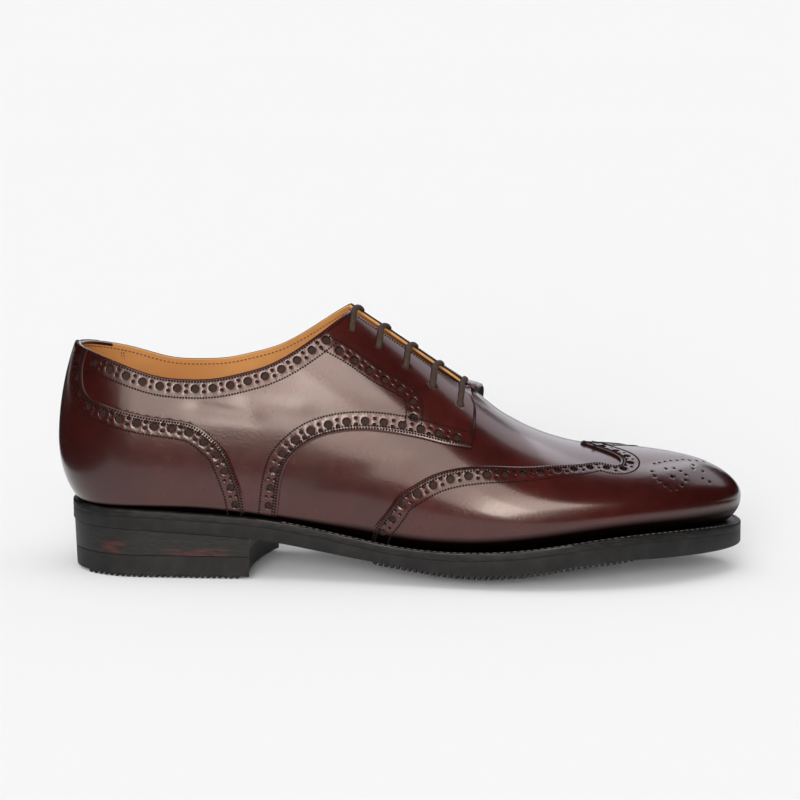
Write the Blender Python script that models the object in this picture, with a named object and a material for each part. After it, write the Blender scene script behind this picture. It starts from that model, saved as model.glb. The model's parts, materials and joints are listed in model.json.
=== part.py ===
"""Full brogue derby, one right shoe, built as separate solids.

Metres, +Z up, toe towards +X, outer (lateral) side towards -Y, floor at z = 0.
Tables and sizes are in millimetres.
"""

import math

import bpy
import numpy as np
from mathutils.geometry import delaunay_2d_cdt

MM = 0.001
LATERAL = -1.0
MEDIAL = 1.0
SIDES = {"lateral": LATERAL, "medial": MEDIAL}
COLLECTION = "full_brogue_derby"

# Finish of each piece: base colour, roughness and metallic value.
FINISHES = {
    "upper_leather": ((0.09, 0.02, 0.016), 0.3, 0.0),
    "lining_leather": ((0.55, 0.29, 0.1), 0.75, 0.0),
    "welt_leather": ((0.03, 0.027, 0.026), 0.55, 0.0),
    "sole_rubber": ((0.022, 0.021, 0.021), 0.7, 0.0),
    "heel_leather": ((0.03, 0.024, 0.022), 0.5, 0.0),
    "lace_cord": ((0.07, 0.05, 0.042), 0.7, 0.0),
}
SMOOTH_BELOW = math.radians(35.0)

# Sections of the last from heel to toe.
# axis is the line of the ridge in plan; lateral and medial are the widest half widths from it;
# seat is the top of the welt, ridge the top of the section, belly the share of the height at which
# it is widest, tuck how far the foot of the wall turns in, and full the roundness of the shoulder.
SECTION_COLUMNS = (
    "x", "axis", "lateral", "medial", "seat", "ridge", "belly", "tuck", "full",
)
SECTIONS = (
    (-155.0, 0.0, 31.0, 31.0, 31.2, 135.0, 0.26, 2.5, 1.8),
    (-120.0, 0.0, 32.0, 32.0, 31.0, 137.0, 0.25, 2.5, 1.8),
    (-90.0, 0.0, 33.0, 32.0, 29.6, 139.0, 0.23, 2.5, 1.8),
    (-60.0, 0.5, 34.5, 31.0, 27.4, 138.0, 0.21, 2.5, 1.9),
    (-30.0, 1.5, 38.5, 31.5, 22.4, 123.0, 0.21, 3.0, 1.9),
    (0.0, 3.0, 45.5, 35.0, 17.3, 102.0, 0.22, 4.0, 1.9),
    (30.0, 4.5, 53.0, 41.0, 16.1, 81.0, 0.24, 5.0, 1.95),
    (60.0, 5.5, 56.0, 45.0, 18.3, 63.5, 0.27, 5.0, 2.0),
    (90.0, 6.5, 53.0, 43.0, 22.3, 56.2, 0.30, 5.0, 2.0),
    (120.0, 7.0, 44.5, 36.0, 24.2, 52.2, 0.36, 4.5, 2.0),
    (155.0, 6.5, 33.0, 27.0, 24.4, 44.0, 0.50, 4.0, 2.0),
)

# Outline of the sole from its axis, height of the outsole's lower edge, how much lower the tread
# hangs in the middle (camber) and how much lower the seat of the upper does (dish).
SOLE_COLUMNS = ("x", "lateral", "medial", "edge", "camber", "dish")
SOLE_SECTIONS = (
    (-155.0, 32.5, 32.5, 22.2, 0.0, 0.0),
    (-120.0, 33.8, 33.6, 21.8, 0.0, 0.0),
    (-90.0, 34.8, 33.4, 20.2, 0.0, 0.0),
    (-60.0, 36.4, 31.4, 17.8, 0.0, 0.3),
    (-30.0, 40.6, 31.2, 13.0, 1.2, 0.8),
    (0.0, 47.6, 35.0, 8.8, 4.4, 1.5),
    (30.0, 55.2, 42.2, 5.9, 6.6, 2.5),
    (60.0, 58.8, 47.4, 7.9, 7.6, 3.0),
    (90.0, 56.0, 45.8, 12.1, 6.0, 3.0),
    (120.0, 47.4, 39.0, 12.9, 3.2, 2.8),
    (155.0, 36.0, 29.6, 13.2, 1.2, 2.8),
)

# Plan and side roundings of the last.
REAR_X = -153.0
TIP_X = 153.0
HEEL_ROUND = 36.0
TOE_ROUND = 56.0
PLAN_POWER = 2.15
HEEL_TUCK = 8.0
HEEL_LEAN = 24.0
HEEL_FADE = 52.0
TOE_TUCK = 5.0
TOE_REACH = 29.0
TOE_FADE = 66.0
BELLY_T = 0.28
FOOT_ANGLE = math.radians(65.0)

# Collar line, read at each side of the foot.
TOPLINE_COLUMNS = ("x", "z")
TOPLINE = (
    (-155.0, 105.0),
    (-140.0, 101.2),
    (-125.0, 96.5),
    (-107.0, 90.9),
    (-94.0, 89.8),
    (-82.0, 90.3),
    (-70.0, 92.8),
    (-58.0, 96.4),
    (-43.0, 104.6),
    (-30.0, 113.4),
    (-15.0, 123.0),
)
THROAT_TOP_X = -45.0
COLLAR_FROM_X = -42.0
COLLAR_TO_X = -18.0
THROAT_END_X = 29.0
THROAT_ROUND = 14.0
THROAT_HALF_GAP = 7.0

# Thicknesses and clearances.
UPPER_WALL = 1.9
GAP = 0.3
OVERLAY_GAP = 0.55
OVERLAY = 1.2
PANEL_GAP = 0.5
TONGUE_THICK = 2.2
TONGUE_GAP = 1.1
TONGUE_TOP_X = -27.0
TONGUE_END_X = 44.0
TONGUE_HALF_SHARE = 0.24
TONGUE_FLARE_SHARE = 0.06
WELT_THICK = 3.4
WELT_LIP = 5.0
INSOLE_THICK = 3.0
INSOLE_CLEAR = 1.6
HEM_CLEAR = 0.45

# Sole outline and heel.
SOLE_REAR_X = -149.3
SOLE_TIP_X = 154.8
SOLE_HEEL_ROUND = 36.0
SOLE_TOE_ROUND = 54.0
OUTSOLE_INSET = 0.5
TREAD_FROM_X = -10.0
TREAD_TO_X = 94.0
TREAD_STEP = 1.2
TREAD_RUN_IN = 0.5
TREAD_RUN_OUT = 3.0
HEEL_SPLIT_Z = 10.0
BREAST_LATERAL_X = -69.0
BREAST_MEDIAL_X = -60.5
BREAST_HOLLOW = 4.0
HEEL_INSET_TOP = 0.9
HEEL_INSET_FLOOR = 2.4
HEEL_HEIGHT = 22.0
FLOOR_BEVEL = 0.8

# Seams of the overlays, seen from the side; both sides of the shoe carry the same lines.
SEAM_COLUMNS = ("x", "z")
COUNTER_SEAM = (
    (-139.0, 101.5),
    (-141.0, 95.0),
    (-141.4, 89.5),
    (-140.6, 84.5),
    (-138.0, 81.0),
    (-134.0, 79.2),
    (-127.0, 77.0),
    (-112.0, 73.5),
    (-100.0, 72.0),
    (-91.0, 70.0),
    (-84.0, 65.5),
    (-78.2, 60.0),
    (-74.2, 53.0),
    (-71.5, 46.0),
    (-69.5, 40.0),
    (-67.8, 30.0),
)
QUARTER_SEAM = (
    (-54.0, 29.0),
    (-53.3, 35.0),
    (-52.3, 43.0),
    (-50.6, 50.0),
    (-46.4, 56.8),
    (-40.4, 62.0),
    (-32.8, 65.6),
    (-24.0, 67.6),
    (-13.5, 68.2),
    (2.5, 66.6),
    (13.0, 64.6),
    (23.0, 62.2),
    (33.0, 60.4),
)
FACING_FRONT = (
    (33.5, 64.0),
    (33.9, 69.7),
    (33.7, 74.0),
    (31.8, 78.0),
)
WING_SEAM = (
    (-12.0, 19.5),
    (-9.6, 26.3),
    (-5.6, 31.5),
    (-0.5, 39.0),
    (6.5, 44.6),
    (13.5, 48.8),
    (20.0, 51.4),
    (30.0, 53.2),
    (40.0, 53.4),
    (50.0, 52.6),
    (60.0, 51.9),
    (70.0, 51.6),
    (83.0, 51.2),
    (91.0, 50.9),
)
# The wing's valley and peak over the ridge: share of the way up the section at each x.
WING_PEAK_COLUMNS = ("x", "share")
WING_PEAK = (
    (97.2, 0.74),
    (99.4, 0.80),
    (97.0, 0.86),
    (91.0, 0.92),
    (81.3, 1.0),
)
# Eyelets from the collar down, columns as in the seams.
EYELETS = (
    (-22.0, 110.0),
    (-10.0, 102.4),
    (2.3, 93.6),
    (14.3, 85.0),
    (26.6, 76.7),
)
EYELET_RADIUS = 1.7
LACE_RADIUS = 1.25
LACE_CLEAR = 0.5


def column(table, columns, name):
    """One named column of a table as an array."""
    return np.array([row[columns.index(name)] for row in table], dtype=float)


def spline(knots, values):
    """Smooth curve through the values, straight beyond its ends.

    Args:
        knots: rising positions.
        values: value at each position.

    Returns:
        A function of a position or an array of them.
    """
    count = len(knots)
    step = np.diff(knots)
    rise = np.diff(values) / step
    system = np.zeros((count, count))
    target = np.zeros(count)
    system[0, 0] = system[-1, -1] = 1.0
    for i in range(1, count - 1):
        system[i, i - 1] = step[i - 1]
        system[i, i] = 2.0 * (step[i - 1] + step[i])
        system[i, i + 1] = step[i]
        target[i] = 6.0 * (rise[i] - rise[i - 1])
    bend = np.linalg.solve(system, target)

    def curve(position):
        at = np.clip(position, knots[0], knots[-1])
        i = np.clip(np.searchsorted(knots, at, side="right") - 1, 0, count - 2)
        left = at - knots[i]
        right = knots[i + 1] - at
        value = (bend[i] * right**3 + bend[i + 1] * left**3) / (6.0 * step[i])
        value = value + (values[i] / step[i] - bend[i] * step[i] / 6.0) * right
        return value + (values[i + 1] / step[i] - bend[i + 1] * step[i] / 6.0) * left

    return curve


def named_rows(table, columns):
    """Rows of a table by column name."""
    return [dict(zip(columns, row)) for row in table]


def table_curves(table, columns):
    """A smooth curve over x for every other column of a table."""
    knots = column(table, columns, "x")
    return {name: spline(knots, column(table, columns, name)) for name in columns if name != "x"}


LAST = table_curves(SECTIONS, SECTION_COLUMNS)
SOLE = table_curves(SOLE_SECTIONS, SOLE_COLUMNS)
COLLAR = table_curves(TOPLINE, TOPLINE_COLUMNS)["z"]

HEEL_ARC = HEEL_ROUND * math.pi / 2.0
TOE_ARC = TOE_ROUND * math.pi / 2.0
RUN_END = HEEL_ARC + (TIP_X - TOE_ROUND - REAR_X - HEEL_ROUND) + TOE_ARC


def across_square(x, y):
    """Square of the position across the sole, 0 on its axis and 1 at either edge."""
    offset = y - LAST["axis"](x)
    half = np.where(offset < 0.0, SOLE["lateral"](x), SOLE["medial"](x))
    return np.minimum((offset / half) ** 2, 1.0)


def seat(x, y):
    """Height of the welt's top, which dips towards the axis."""
    return LAST["seat"](x) - SOLE["dish"](x) * (1.0 - across_square(x, y))


def section_x(run):
    """Section position for a distance run round the last from the back seam to the toe tip."""
    run = np.asarray(run, dtype=float)
    heel = np.clip(run / HEEL_ARC, 0.0, 1.0) * math.pi / 2.0
    toe = np.clip((RUN_END - run) / TOE_ARC, 0.0, 1.0) * math.pi / 2.0
    middle = np.clip(run - HEEL_ARC, 0.0, RUN_END - HEEL_ARC - TOE_ARC)
    return REAR_X + HEEL_ROUND * (1.0 - np.cos(heel)) + middle + TOE_ROUND * np.cos(toe)


def end_round(depth, length):
    """Share of the full width at a depth from a rounded end."""
    share = np.clip(1.0 - depth / length, 0.0, 1.0)
    return (1.0 - share**PLAN_POWER) ** (1.0 / PLAN_POWER)


def fade(depth, length):
    """Falls softly from 1 at an end to 0 at the given depth."""
    return np.clip(1.0 - depth / length, 0.0, 1.0) ** 2


def last_point(run, share, side):
    """Point of the upper's outer skin.

    Args:
        run: distance round the last from the back seam (0) to the toe tip (RUN_END).
        share: way up the section, 0 at the welt and 1 on the ridge.
        side: LATERAL or MEDIAL.

    Returns:
        Array of points with a last axis of three.
    """
    run, share = np.broadcast_arrays(np.asarray(run, float), np.asarray(share, float))
    at = section_x(run)
    width = np.where(side < 0.0, LAST["lateral"](at), LAST["medial"](at))
    ends = end_round(at - REAR_X, HEEL_ROUND) * end_round(TIP_X - at, TOE_ROUND)
    below = np.clip(1.0 - share / BELLY_T, 0.0, 1.0) * FOOT_ANGLE
    above = np.clip((share - BELLY_T) / (1.0 - BELLY_T), 0.0, 1.0) * math.pi / 2.0
    turn_in = (1.0 - np.cos(below)) / (1.0 - math.cos(FOOT_ANGLE))
    drop = np.sin(below) / math.sin(FOOT_ANGLE)
    power = 2.0 / LAST["full"](at)
    across = np.clip(np.cos(above), 0.0, 1.0) ** power
    climb = np.clip(np.sin(above), 0.0, 1.0) ** power
    heel_shift = HEEL_TUCK * turn_in + HEEL_LEAN * (1.0 - across)
    toe_shift = TOE_TUCK * turn_in + TOE_REACH * (1.0 - across)
    x = at + fade(at - REAR_X, HEEL_FADE) * heel_shift - fade(TIP_X - at, TOE_FADE) * toe_shift
    y = LAST["axis"](x) + side * ends * (width * across - LAST["tuck"](at) * turn_in)
    foot = seat(x, y) + GAP
    belly = LAST["belly"](at)
    z = foot + (LAST["ridge"](x) - foot) * (belly * (1.0 - drop) + (1.0 - belly) * climb)
    return np.stack([x, y, z], axis=-1)


def last_normal(run, share, side):
    """Outward unit normal of the upper's skin."""
    run, share = np.broadcast_arrays(np.asarray(run, float), np.asarray(share, float))
    near, far = np.maximum(run - 0.4, 0.3), np.minimum(run + 0.4, RUN_END - 0.3)
    low, high = np.clip(share - 0.006, 0.0, 0.982), np.clip(share + 0.006, 0.012, 0.994)
    along = last_point(far, np.clip(share, 0.02, 0.985), side)
    along = along - last_point(near, np.clip(share, 0.02, 0.985), side)
    up = last_point(np.clip(run, 0.3, RUN_END - 0.3), high, side)
    up = up - last_point(np.clip(run, 0.3, RUN_END - 0.3), low, side)
    normal = -side * np.cross(along, up)
    at_ends = (run < 0.3) | (run > RUN_END - 0.3) | (share > 0.985)
    normal = normal / np.linalg.norm(normal, axis=-1, keepdims=True)
    flat = normal.copy()
    flat[..., 1] = 0.0
    flat = flat / np.linalg.norm(flat, axis=-1, keepdims=True)
    return np.where(at_ends[..., None], flat, normal)


def skin(run, share, side, lift):
    """Point at a height above the upper's outer skin."""
    return last_point(run, share, side) + lift * last_normal(run, share, side)


def mouth_share(run, side):
    """Share at which the upper ends at a run: the collar, the throat slot or the ridge."""
    shares = np.linspace(BELLY_T, 1.0, 241)
    points = last_point(np.full(shares.shape, run), shares, side)
    over = points[:, 2] > COLLAR(points[:, 0])
    slot = np.abs(points[:, 1] - LAST["axis"](points[:, 0])) < throat_half_gap(points[:, 0])
    slot &= points[:, 0] > THROAT_TOP_X
    ended = np.flatnonzero((over & (points[:, 0] < 0.0)) | slot)
    if len(ended) == 0:
        return 1.0
    return float(shares[max(ended[0] - 1, 0)])


def throat_half_gap(x):
    """Half width of the throat slot at x, closing to nothing at its rounded front end."""
    depth = np.clip((THROAT_END_X - x) / THROAT_ROUND, 0.0, 1.0)
    return THROAT_HALF_GAP * np.sqrt(1.0 - (1.0 - depth) ** 2)


def locate(x, z, side):
    """Run and share of the skin point that the side view shows at x and z."""
    runs = np.linspace(0.0, RUN_END, 281)
    shares = np.linspace(0.0, 1.0, 121)
    run_grid, share_grid = np.meshgrid(runs, shares, indexing="ij")
    points = last_point(run_grid, share_grid, side)
    error = (points[..., 0] - x) ** 2 + (points[..., 2] - z) ** 2
    i, j = np.unravel_index(np.argmin(error), error.shape)
    run, share = runs[i], shares[j]
    for _ in range(12):
        here = last_point(run, share, side)
        d_run = (last_point(run + 0.01, share, side) - here) / 0.01
        d_share = (last_point(run, share + 1e-4, side) - here) / 1e-4
        matrix = np.array([[d_run[0], d_share[0]], [d_run[2], d_share[2]]])
        if abs(np.linalg.det(matrix)) < 1e-3:
            break
        move = np.linalg.solve(matrix, [x - here[0], z - here[2]])
        run = float(np.clip(run + np.clip(move[0], -3.0, 3.0), 0.0, RUN_END))
        share = float(np.clip(share + np.clip(move[1], -0.05, 0.05), 0.0, 0.999))
    return run, share


def flat_pattern(run, share, side):
    """Unrolled pattern position of a skin point, for laying out faces."""
    ridge = last_point(run, 1.0, side)[..., :2]
    foot = last_point(run, BELLY_T, side)[..., :2]
    reach = foot - ridge
    length = np.maximum(np.linalg.norm(reach, axis=-1, keepdims=True), 1e-6)
    height = last_point(run, 1.0, side)[..., 2] - last_point(run, 0.0, side)[..., 2]
    girth = 0.75 * (length[..., 0] + height)
    return ridge + reach / length * ((1.0 - np.asarray(share)) * girth)[..., None]


def hem_share(run, side, lift):
    """Lowest share at which a cover of the given outer lift stays above the welt."""
    shares = np.linspace(0.0, 0.25, 126)
    runs = np.full(shares.shape, run)
    inner = skin(runs, shares, side, OVERLAY_GAP)
    outer = skin(runs, shares, side, lift)
    clear = np.minimum(*(p[:, 2] - seat(p[:, 0], p[:, 1]) for p in (inner, outer)))
    return float(shares[np.argmax(clear > HEM_CLEAR)])


def material(name):
    """Material of one finish, made once."""
    if name in bpy.data.materials:
        return bpy.data.materials[name]
    color, roughness, metallic = FINISHES[name]
    made = bpy.data.materials.new(name)
    made.use_nodes = True
    shader = made.node_tree.nodes["Principled BSDF"]
    shader.inputs["Base Color"].default_value = (*color, 1.0)
    shader.inputs["Roughness"].default_value = roughness
    shader.inputs["Metallic"].default_value = metallic
    return made


def mesh_object(name, vertices, faces):
    """Mesh object in metres from millimetre vertices, shaded smooth but for its sharp edges."""
    mesh = bpy.data.meshes.new(name)
    mesh.from_pydata([tuple(float(c) * MM for c in v) for v in vertices], [], faces)
    mesh.validate()
    mesh.shade_smooth()
    mesh.set_sharp_from_angle(angle=SMOOTH_BELOW)
    return bpy.data.objects.new(name, mesh)


def welded(vertices, faces, reach=0.02):
    """Vertices and faces with coincident vertices joined and empty faces dropped."""
    vertices = np.asarray(vertices, dtype=float)
    keys = {}
    target = []
    kept = []
    for vertex in vertices:
        key = tuple(np.round(vertex / reach).astype(int))
        if key not in keys:
            keys[key] = len(kept)
            kept.append(vertex)
        target.append(keys[key])
    result = []
    for face in faces:
        ring = []
        for index in face:
            if target[index] not in ring:
                ring.append(target[index])
        if len(ring) > 2:
            result.append(ring)
    return kept, result


def thick_sheet(name, inner, outer, triangles, reach=0.02):
    """Closed solid from two matching sheets.

    Args:
        name: object name.
        inner, outer: vertices of the two sheets, in the same order.
        triangles: faces of the outer sheet, facing out.
        reach: distance within which vertices are joined.

    Returns:
        The object.
    """
    outer_kept, outer_faces = welded(outer, triangles, reach)
    lookup = {}
    for vertex, point in zip(outer, inner):
        lookup.setdefault(tuple(np.round(np.asarray(vertex) / reach).astype(int)), point)
    inner_kept = [lookup[tuple(np.round(v / reach).astype(int))] for v in outer_kept]
    size = len(outer_kept)
    edges = {}
    for face in outer_faces:
        for a, b in zip(face, face[1:] + face[:1]):
            edges[(a, b)] = edges.get((a, b), 0) + 1
    faces = list(outer_faces)
    faces += [[i + size for i in reversed(face)] for face in outer_faces]
    for a, b in edges:
        if (b, a) not in edges:
            faces.append([b, a, a + size])
            faces.append([b, a + size, b + size])
    return mesh_object(name, list(outer_kept) + list(inner_kept), faces)


def resampled(points, spacing):
    """Closed pattern outline with extra points so that no side is longer than the spacing."""
    result = []
    for here, there in zip(points, points[1:] + points[:1]):
        a = last_point(*here)
        b = last_point(*there)
        pieces = max(1, int(math.ceil(np.linalg.norm(b - a) / spacing)))
        if here[2] != there[2]:
            pieces = 1
        for i in range(pieces):
            mix = i / pieces
            run, share = here[0] + mix * (there[0] - here[0]), here[1] + mix * (there[1] - here[1])
            result.append((run, share, here[2]))
    return result


def inside(polygon, points):
    """Which points lie inside a closed polygon."""
    hit = np.zeros(len(points), dtype=bool)
    for (ax, ay), (bx, by) in zip(polygon, np.roll(polygon, -1, axis=0)):
        if ay == by:
            continue
        crosses = (ay > points[:, 1]) != (by > points[:, 1])
        hit ^= crosses & (points[:, 0] < (bx - ax) * (points[:, 1] - ay) / (by - ay) + ax)
    return hit


def edge_distance(polygon, points):
    """Distance of each point from the polygon's outline."""
    best = np.full(len(points), 1e9)
    for a, b in zip(polygon, np.roll(polygon, -1, axis=0)):
        along = b - a
        share = np.clip(((points - a) @ along) / max(along @ along, 1e-9), 0.0, 1.0)
        best = np.minimum(best, np.linalg.norm(points - a - share[:, None] * along, axis=1))
    return best


def thinned(points, reach):
    """Indices of points of which no two are closer than the reach."""
    kept = []
    for i, point in enumerate(points):
        if not kept or np.min(np.linalg.norm(points[kept] - point, axis=1)) > reach:
            kept.append(i)
    return kept


def panel(name, outline, holes, spacing, rise, thick):
    """Overlay of the upper: a sheet on the last's own skin inside a pattern outline.

    Args:
        name: object name.
        outline: (run, share, side) points round the panel.
        holes: list of rings of such points.
        spacing: size of the faces along the shoe, in mm.
        rise: size of the faces up the section, as a share of it.
        thick: thickness of the overlay.

    Returns:
        The object.
    """
    ring = resampled(outline, spacing)
    border = np.array([flat_pattern(*p) for p in ring])
    places = list(ring)
    loops = [list(range(len(ring)))]
    hole_polygons = []
    for hole in holes:
        loops.append(list(range(len(places), len(places) + len(hole))))
        places += hole
        hole_polygons.append(np.array([flat_pattern(*p) for p in hole]))
    for side in (LATERAL, MEDIAL):
        first = 0.0 if side < 0.0 else spacing
        runs = np.arange(first, RUN_END + 0.01, spacing)
        shares = np.arange(0.04, 0.99, rise)
        run_grid, share_grid = [g.ravel() for g in np.meshgrid(runs, shares, indexing="ij")]
        points = flat_pattern(run_grid, share_grid, side)
        keep = inside(border, points) & (edge_distance(border, points) > 0.55 * spacing)
        for polygon in hole_polygons:
            keep &= edge_distance(polygon, points) > 0.35 * spacing
            keep &= ~inside(polygon, points)
        spread = thinned(last_point(run_grid[keep], share_grid[keep], side), 0.72 * spacing)
        places += [(r, s, side) for r, s in zip(run_grid[keep][spread], share_grid[keep][spread])]
    flat = [tuple(flat_pattern(*p)) for p in places]
    edges = [(a, b) for loop in loops for a, b in zip(loop, loop[1:] + loop[:1])]
    out = delaunay_2d_cdt([tuple(map(float, p)) for p in flat], edges, [], 1, 1e-7)
    sources = [origin[0] for origin in out[3]]
    triangles = []
    for face in out[2]:
        centre = np.mean([flat[sources[i]] for i in face], axis=0)[None, :]
        if any(inside(polygon, centre)[0] for polygon in hole_polygons):
            continue
        if not inside(border, centre)[0]:
            continue
        triangles.append([sources[i] for i in face])
    inner = [skin(r, s, side, OVERLAY_GAP) for r, s, side in places]
    outer = [skin(r, s, side, OVERLAY_GAP + thick) for r, s, side in places]
    return thick_sheet(name, inner, outer, triangles)


def side_runs():
    """Runs of the upper's columns from the back seam to the toe tip."""
    knots = (COLLAR_FROM_X, COLLAR_TO_X, THROAT_END_X + 1.0)
    stops = [0.0, HEEL_ARC, *(HEEL_ARC + x - REAR_X - HEEL_ROUND for x in knots), RUN_END - TOE_ARC, RUN_END]
    steps = (8, 7, 7, 8, 7, 10)
    runs = [np.linspace(a, b, n, endpoint=False) for a, b, n in zip(stops, stops[1:], steps)]
    return np.concatenate(runs + [[RUN_END]])


def make_upper():
    """Hollow vamp and lining: one shell, open at the collar, the throat and underneath."""
    rows = 8
    runs = side_runs()
    columns = [(run, LATERAL) for run in runs] + [(run, MEDIAL) for run in runs[-2:0:-1]]
    inner, outer, faces = [], [], []
    for run, side in columns:
        shares = np.linspace(0.0, mouth_share(run, side), rows + 1)
        outer += list(skin(np.full(rows + 1, run), shares, side, 0.0))
        inner += list(skin(np.full(rows + 1, run), shares, side, -UPPER_WALL))
    total = len(columns)
    for i in range(total):
        a, b = i * (rows + 1), (i + 1) % total * (rows + 1)
        for j in range(rows):
            faces.append([a + j, b + j, b + j + 1])
            faces.append([a + j, b + j + 1, a + j + 1])
    return thick_sheet("upper", inner, outer, faces)


def seam_points(table, side):
    """Skin places of a seam table on one side."""
    return [(*locate(row["x"], row["z"], side), side) for row in named_rows(table, SEAM_COLUMNS)]


def mouth_points(first, last, side, step=5.0):
    """Places along the collar and throat edge between two runs."""
    count = max(2, int(abs(last - first) / step) + 1)
    return [(run, mouth_share(run, side), side) for run in np.linspace(first, last, count)]


def hem_points(first, last, side, lift, step=6.0):
    """Places along the foot of an overlay between two runs."""
    count = max(2, int(abs(last - first) / step) + 1)
    return [(run, hem_share(run, side, lift), side) for run in np.linspace(first, last, count)]


def shifted(points, run_shift, share_shift):
    """Places moved a little along and up the skin."""
    return [(run + run_shift, share + share_shift, side) for run, share, side in points]


def trimmed(points, lift):
    """Places kept between the hem and the mouth of the upper."""
    result = []
    for run, share, side in points:
        low, high = hem_share(run, side, lift), mouth_share(run, side)
        result.append((run, min(max(share, low), high), side))
    return result


def ring_round(place, radius, count=10):
    """Ring of places on the skin round one place."""
    run, share, side = place
    centre = last_point(run, share, side)
    d_run = (last_point(run + 0.2, share, side) - centre) / 0.2
    d_share = (last_point(run, share + 0.002, side) - centre) / 0.002
    basis = np.stack([d_run, d_share], axis=1)
    up = d_share / np.linalg.norm(d_share)
    along = np.cross(last_normal(run, share, side), up)
    result = []
    for angle in np.linspace(0.0, 2.0 * math.pi, count, endpoint=False):
        offset = radius * (math.cos(angle) * along + math.sin(angle) * up)
        step = np.linalg.lstsq(basis, offset, rcond=None)[0]
        result.append((run + step[0], share + step[1], side))
    return result


def make_wing_cap():
    """Wing cap: the toe cover whose edge runs up to a peak on the ridge."""
    lift = OVERLAY_GAP + OVERLAY
    lines = {}
    for side in SIDES.values():
        low = seam_points(WING_SEAM, side)
        peak = []
        for row in named_rows(WING_PEAK, WING_PEAK_COLUMNS):
            runs = np.linspace(RUN_END * 0.5, RUN_END, 600)
            at = last_point(runs, np.full(runs.shape, row["share"]), side)[:, 0]
            nearest = np.argmin(np.abs(at - row["x"]))
            peak.append((float(runs[nearest]), row["share"], side))
        lines[side] = trimmed(low, lift) + peak
    first = lines[LATERAL][0][0]
    outline = list(lines[LATERAL])
    outline += list(reversed(lines[MEDIAL][:-1]))
    outline += hem_points(lines[MEDIAL][0][0] + 6.0, RUN_END - 4.0, MEDIAL, lift)
    outline += hem_points(RUN_END, first + 6.0, LATERAL, lift)
    return panel("wing_cap", outline, [], 5.6, 0.06, OVERLAY)


def make_quarter(side_name):
    """Quarter with its facing: from the counter's edge to the front corner over the vamp."""
    side = SIDES[side_name]
    lift = OVERLAY_GAP + OVERLAY
    front = trimmed(seam_points(QUARTER_SEAM, side) + seam_points(FACING_FRONT, side), lift)
    rear = trimmed(shifted(seam_points(COUNTER_SEAM, side), PANEL_GAP, 0.006), lift)
    throat = mouth_points(front[-1][0] - 3.0, rear[0][0] + 3.0, side)
    rear[0] = (rear[0][0], mouth_share(rear[0][0], side), side)
    foot = hem_points(rear[-1][0] + 3.0, front[0][0] - 3.0, side, lift)
    holes = [ring_round(place, EYELET_RADIUS) for place in seam_points(EYELETS, side)]
    return panel("quarter_" + side_name, front + throat + rear + foot, holes, 7.5, 0.06, OVERLAY)


def make_counter():
    """Heel counter with its back tab, wrapped round the heel from side to side."""
    lift = OVERLAY_GAP + OVERLAY
    edges = {}
    for side in SIDES.values():
        line = trimmed(seam_points(COUNTER_SEAM, side), lift)
        line[0] = (line[0][0], mouth_share(line[0][0], side), side)
        edges[side] = line
    outline = list(edges[LATERAL])
    outline += hem_points(edges[LATERAL][-1][0] - 4.0, 0.0, LATERAL, lift)
    outline += hem_points(4.0, edges[MEDIAL][-1][0] - 4.0, MEDIAL, lift)
    outline += list(reversed(edges[MEDIAL]))
    outline += mouth_points(edges[MEDIAL][0][0] - 4.0, 4.0, MEDIAL)
    outline += mouth_points(0.0, edges[LATERAL][0][0] - 4.0, LATERAL)
    return panel("heel_counter", outline, [], 6.0, 0.045, OVERLAY)


def make_tongue():
    """Tongue: a curved leaf under the facings, from the vamp to the top of the throat."""
    across, along = 6, 10
    top = -(UPPER_WALL + TONGUE_GAP)
    inner, outer, faces = [], [], []
    ends = (TONGUE_TOP_X, TONGUE_END_X)
    start, end = [locate(x, float(LAST["ridge"](x)) - 4.0, LATERAL)[0] for x in ends]
    for run in np.linspace(start, end, along + 1):
        x = float(last_point(run, 1.0, LATERAL)[0])
        up = (TONGUE_END_X - x) / (TONGUE_END_X - TONGUE_TOP_X)
        reach = TONGUE_HALF_SHARE + TONGUE_FLARE_SHARE * up
        for v in np.linspace(-1.0, 1.0, across + 1):
            side = LATERAL if v <= 0.0 else MEDIAL
            outer.append(skin(run, 1.0 - abs(v) * reach, side, top))
            inner.append(skin(run, 1.0 - abs(v) * reach, side, top - TONGUE_THICK))
    for i in range(along):
        for j in range(across):
            a, b = i * (across + 1) + j, (i + 1) * (across + 1) + j
            faces += [[a, b, b + 1], [a, b + 1, a + 1]]
    return thick_sheet("tongue", inner, outer, faces)


def plan_loop(points, inset):
    """Plan points of one side moved in by an inset, from the back forward."""
    points = np.asarray(points, dtype=float)
    before, after = points[1].copy(), points[-2].copy()
    before[1] = 2.0 * points[0, 1] - points[1, 1]
    after[1] = 2.0 * points[-1, 1] - points[-2, 1]
    if np.ptp(points[-2:, 0]) > np.ptp(points[-2:, 1]):
        after = 2.0 * points[-1] - points[-2]
    around = np.vstack([before, points, after])
    tangent = around[2:] - around[:-2]
    tangent = tangent / np.linalg.norm(tangent, axis=1, keepdims=True)
    inward = np.stack([-tangent[:, 1], tangent[:, 0]], axis=1)
    if points[:, 1].mean() > 0.0:
        inward = -inward
    return points + inset * inward


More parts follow.
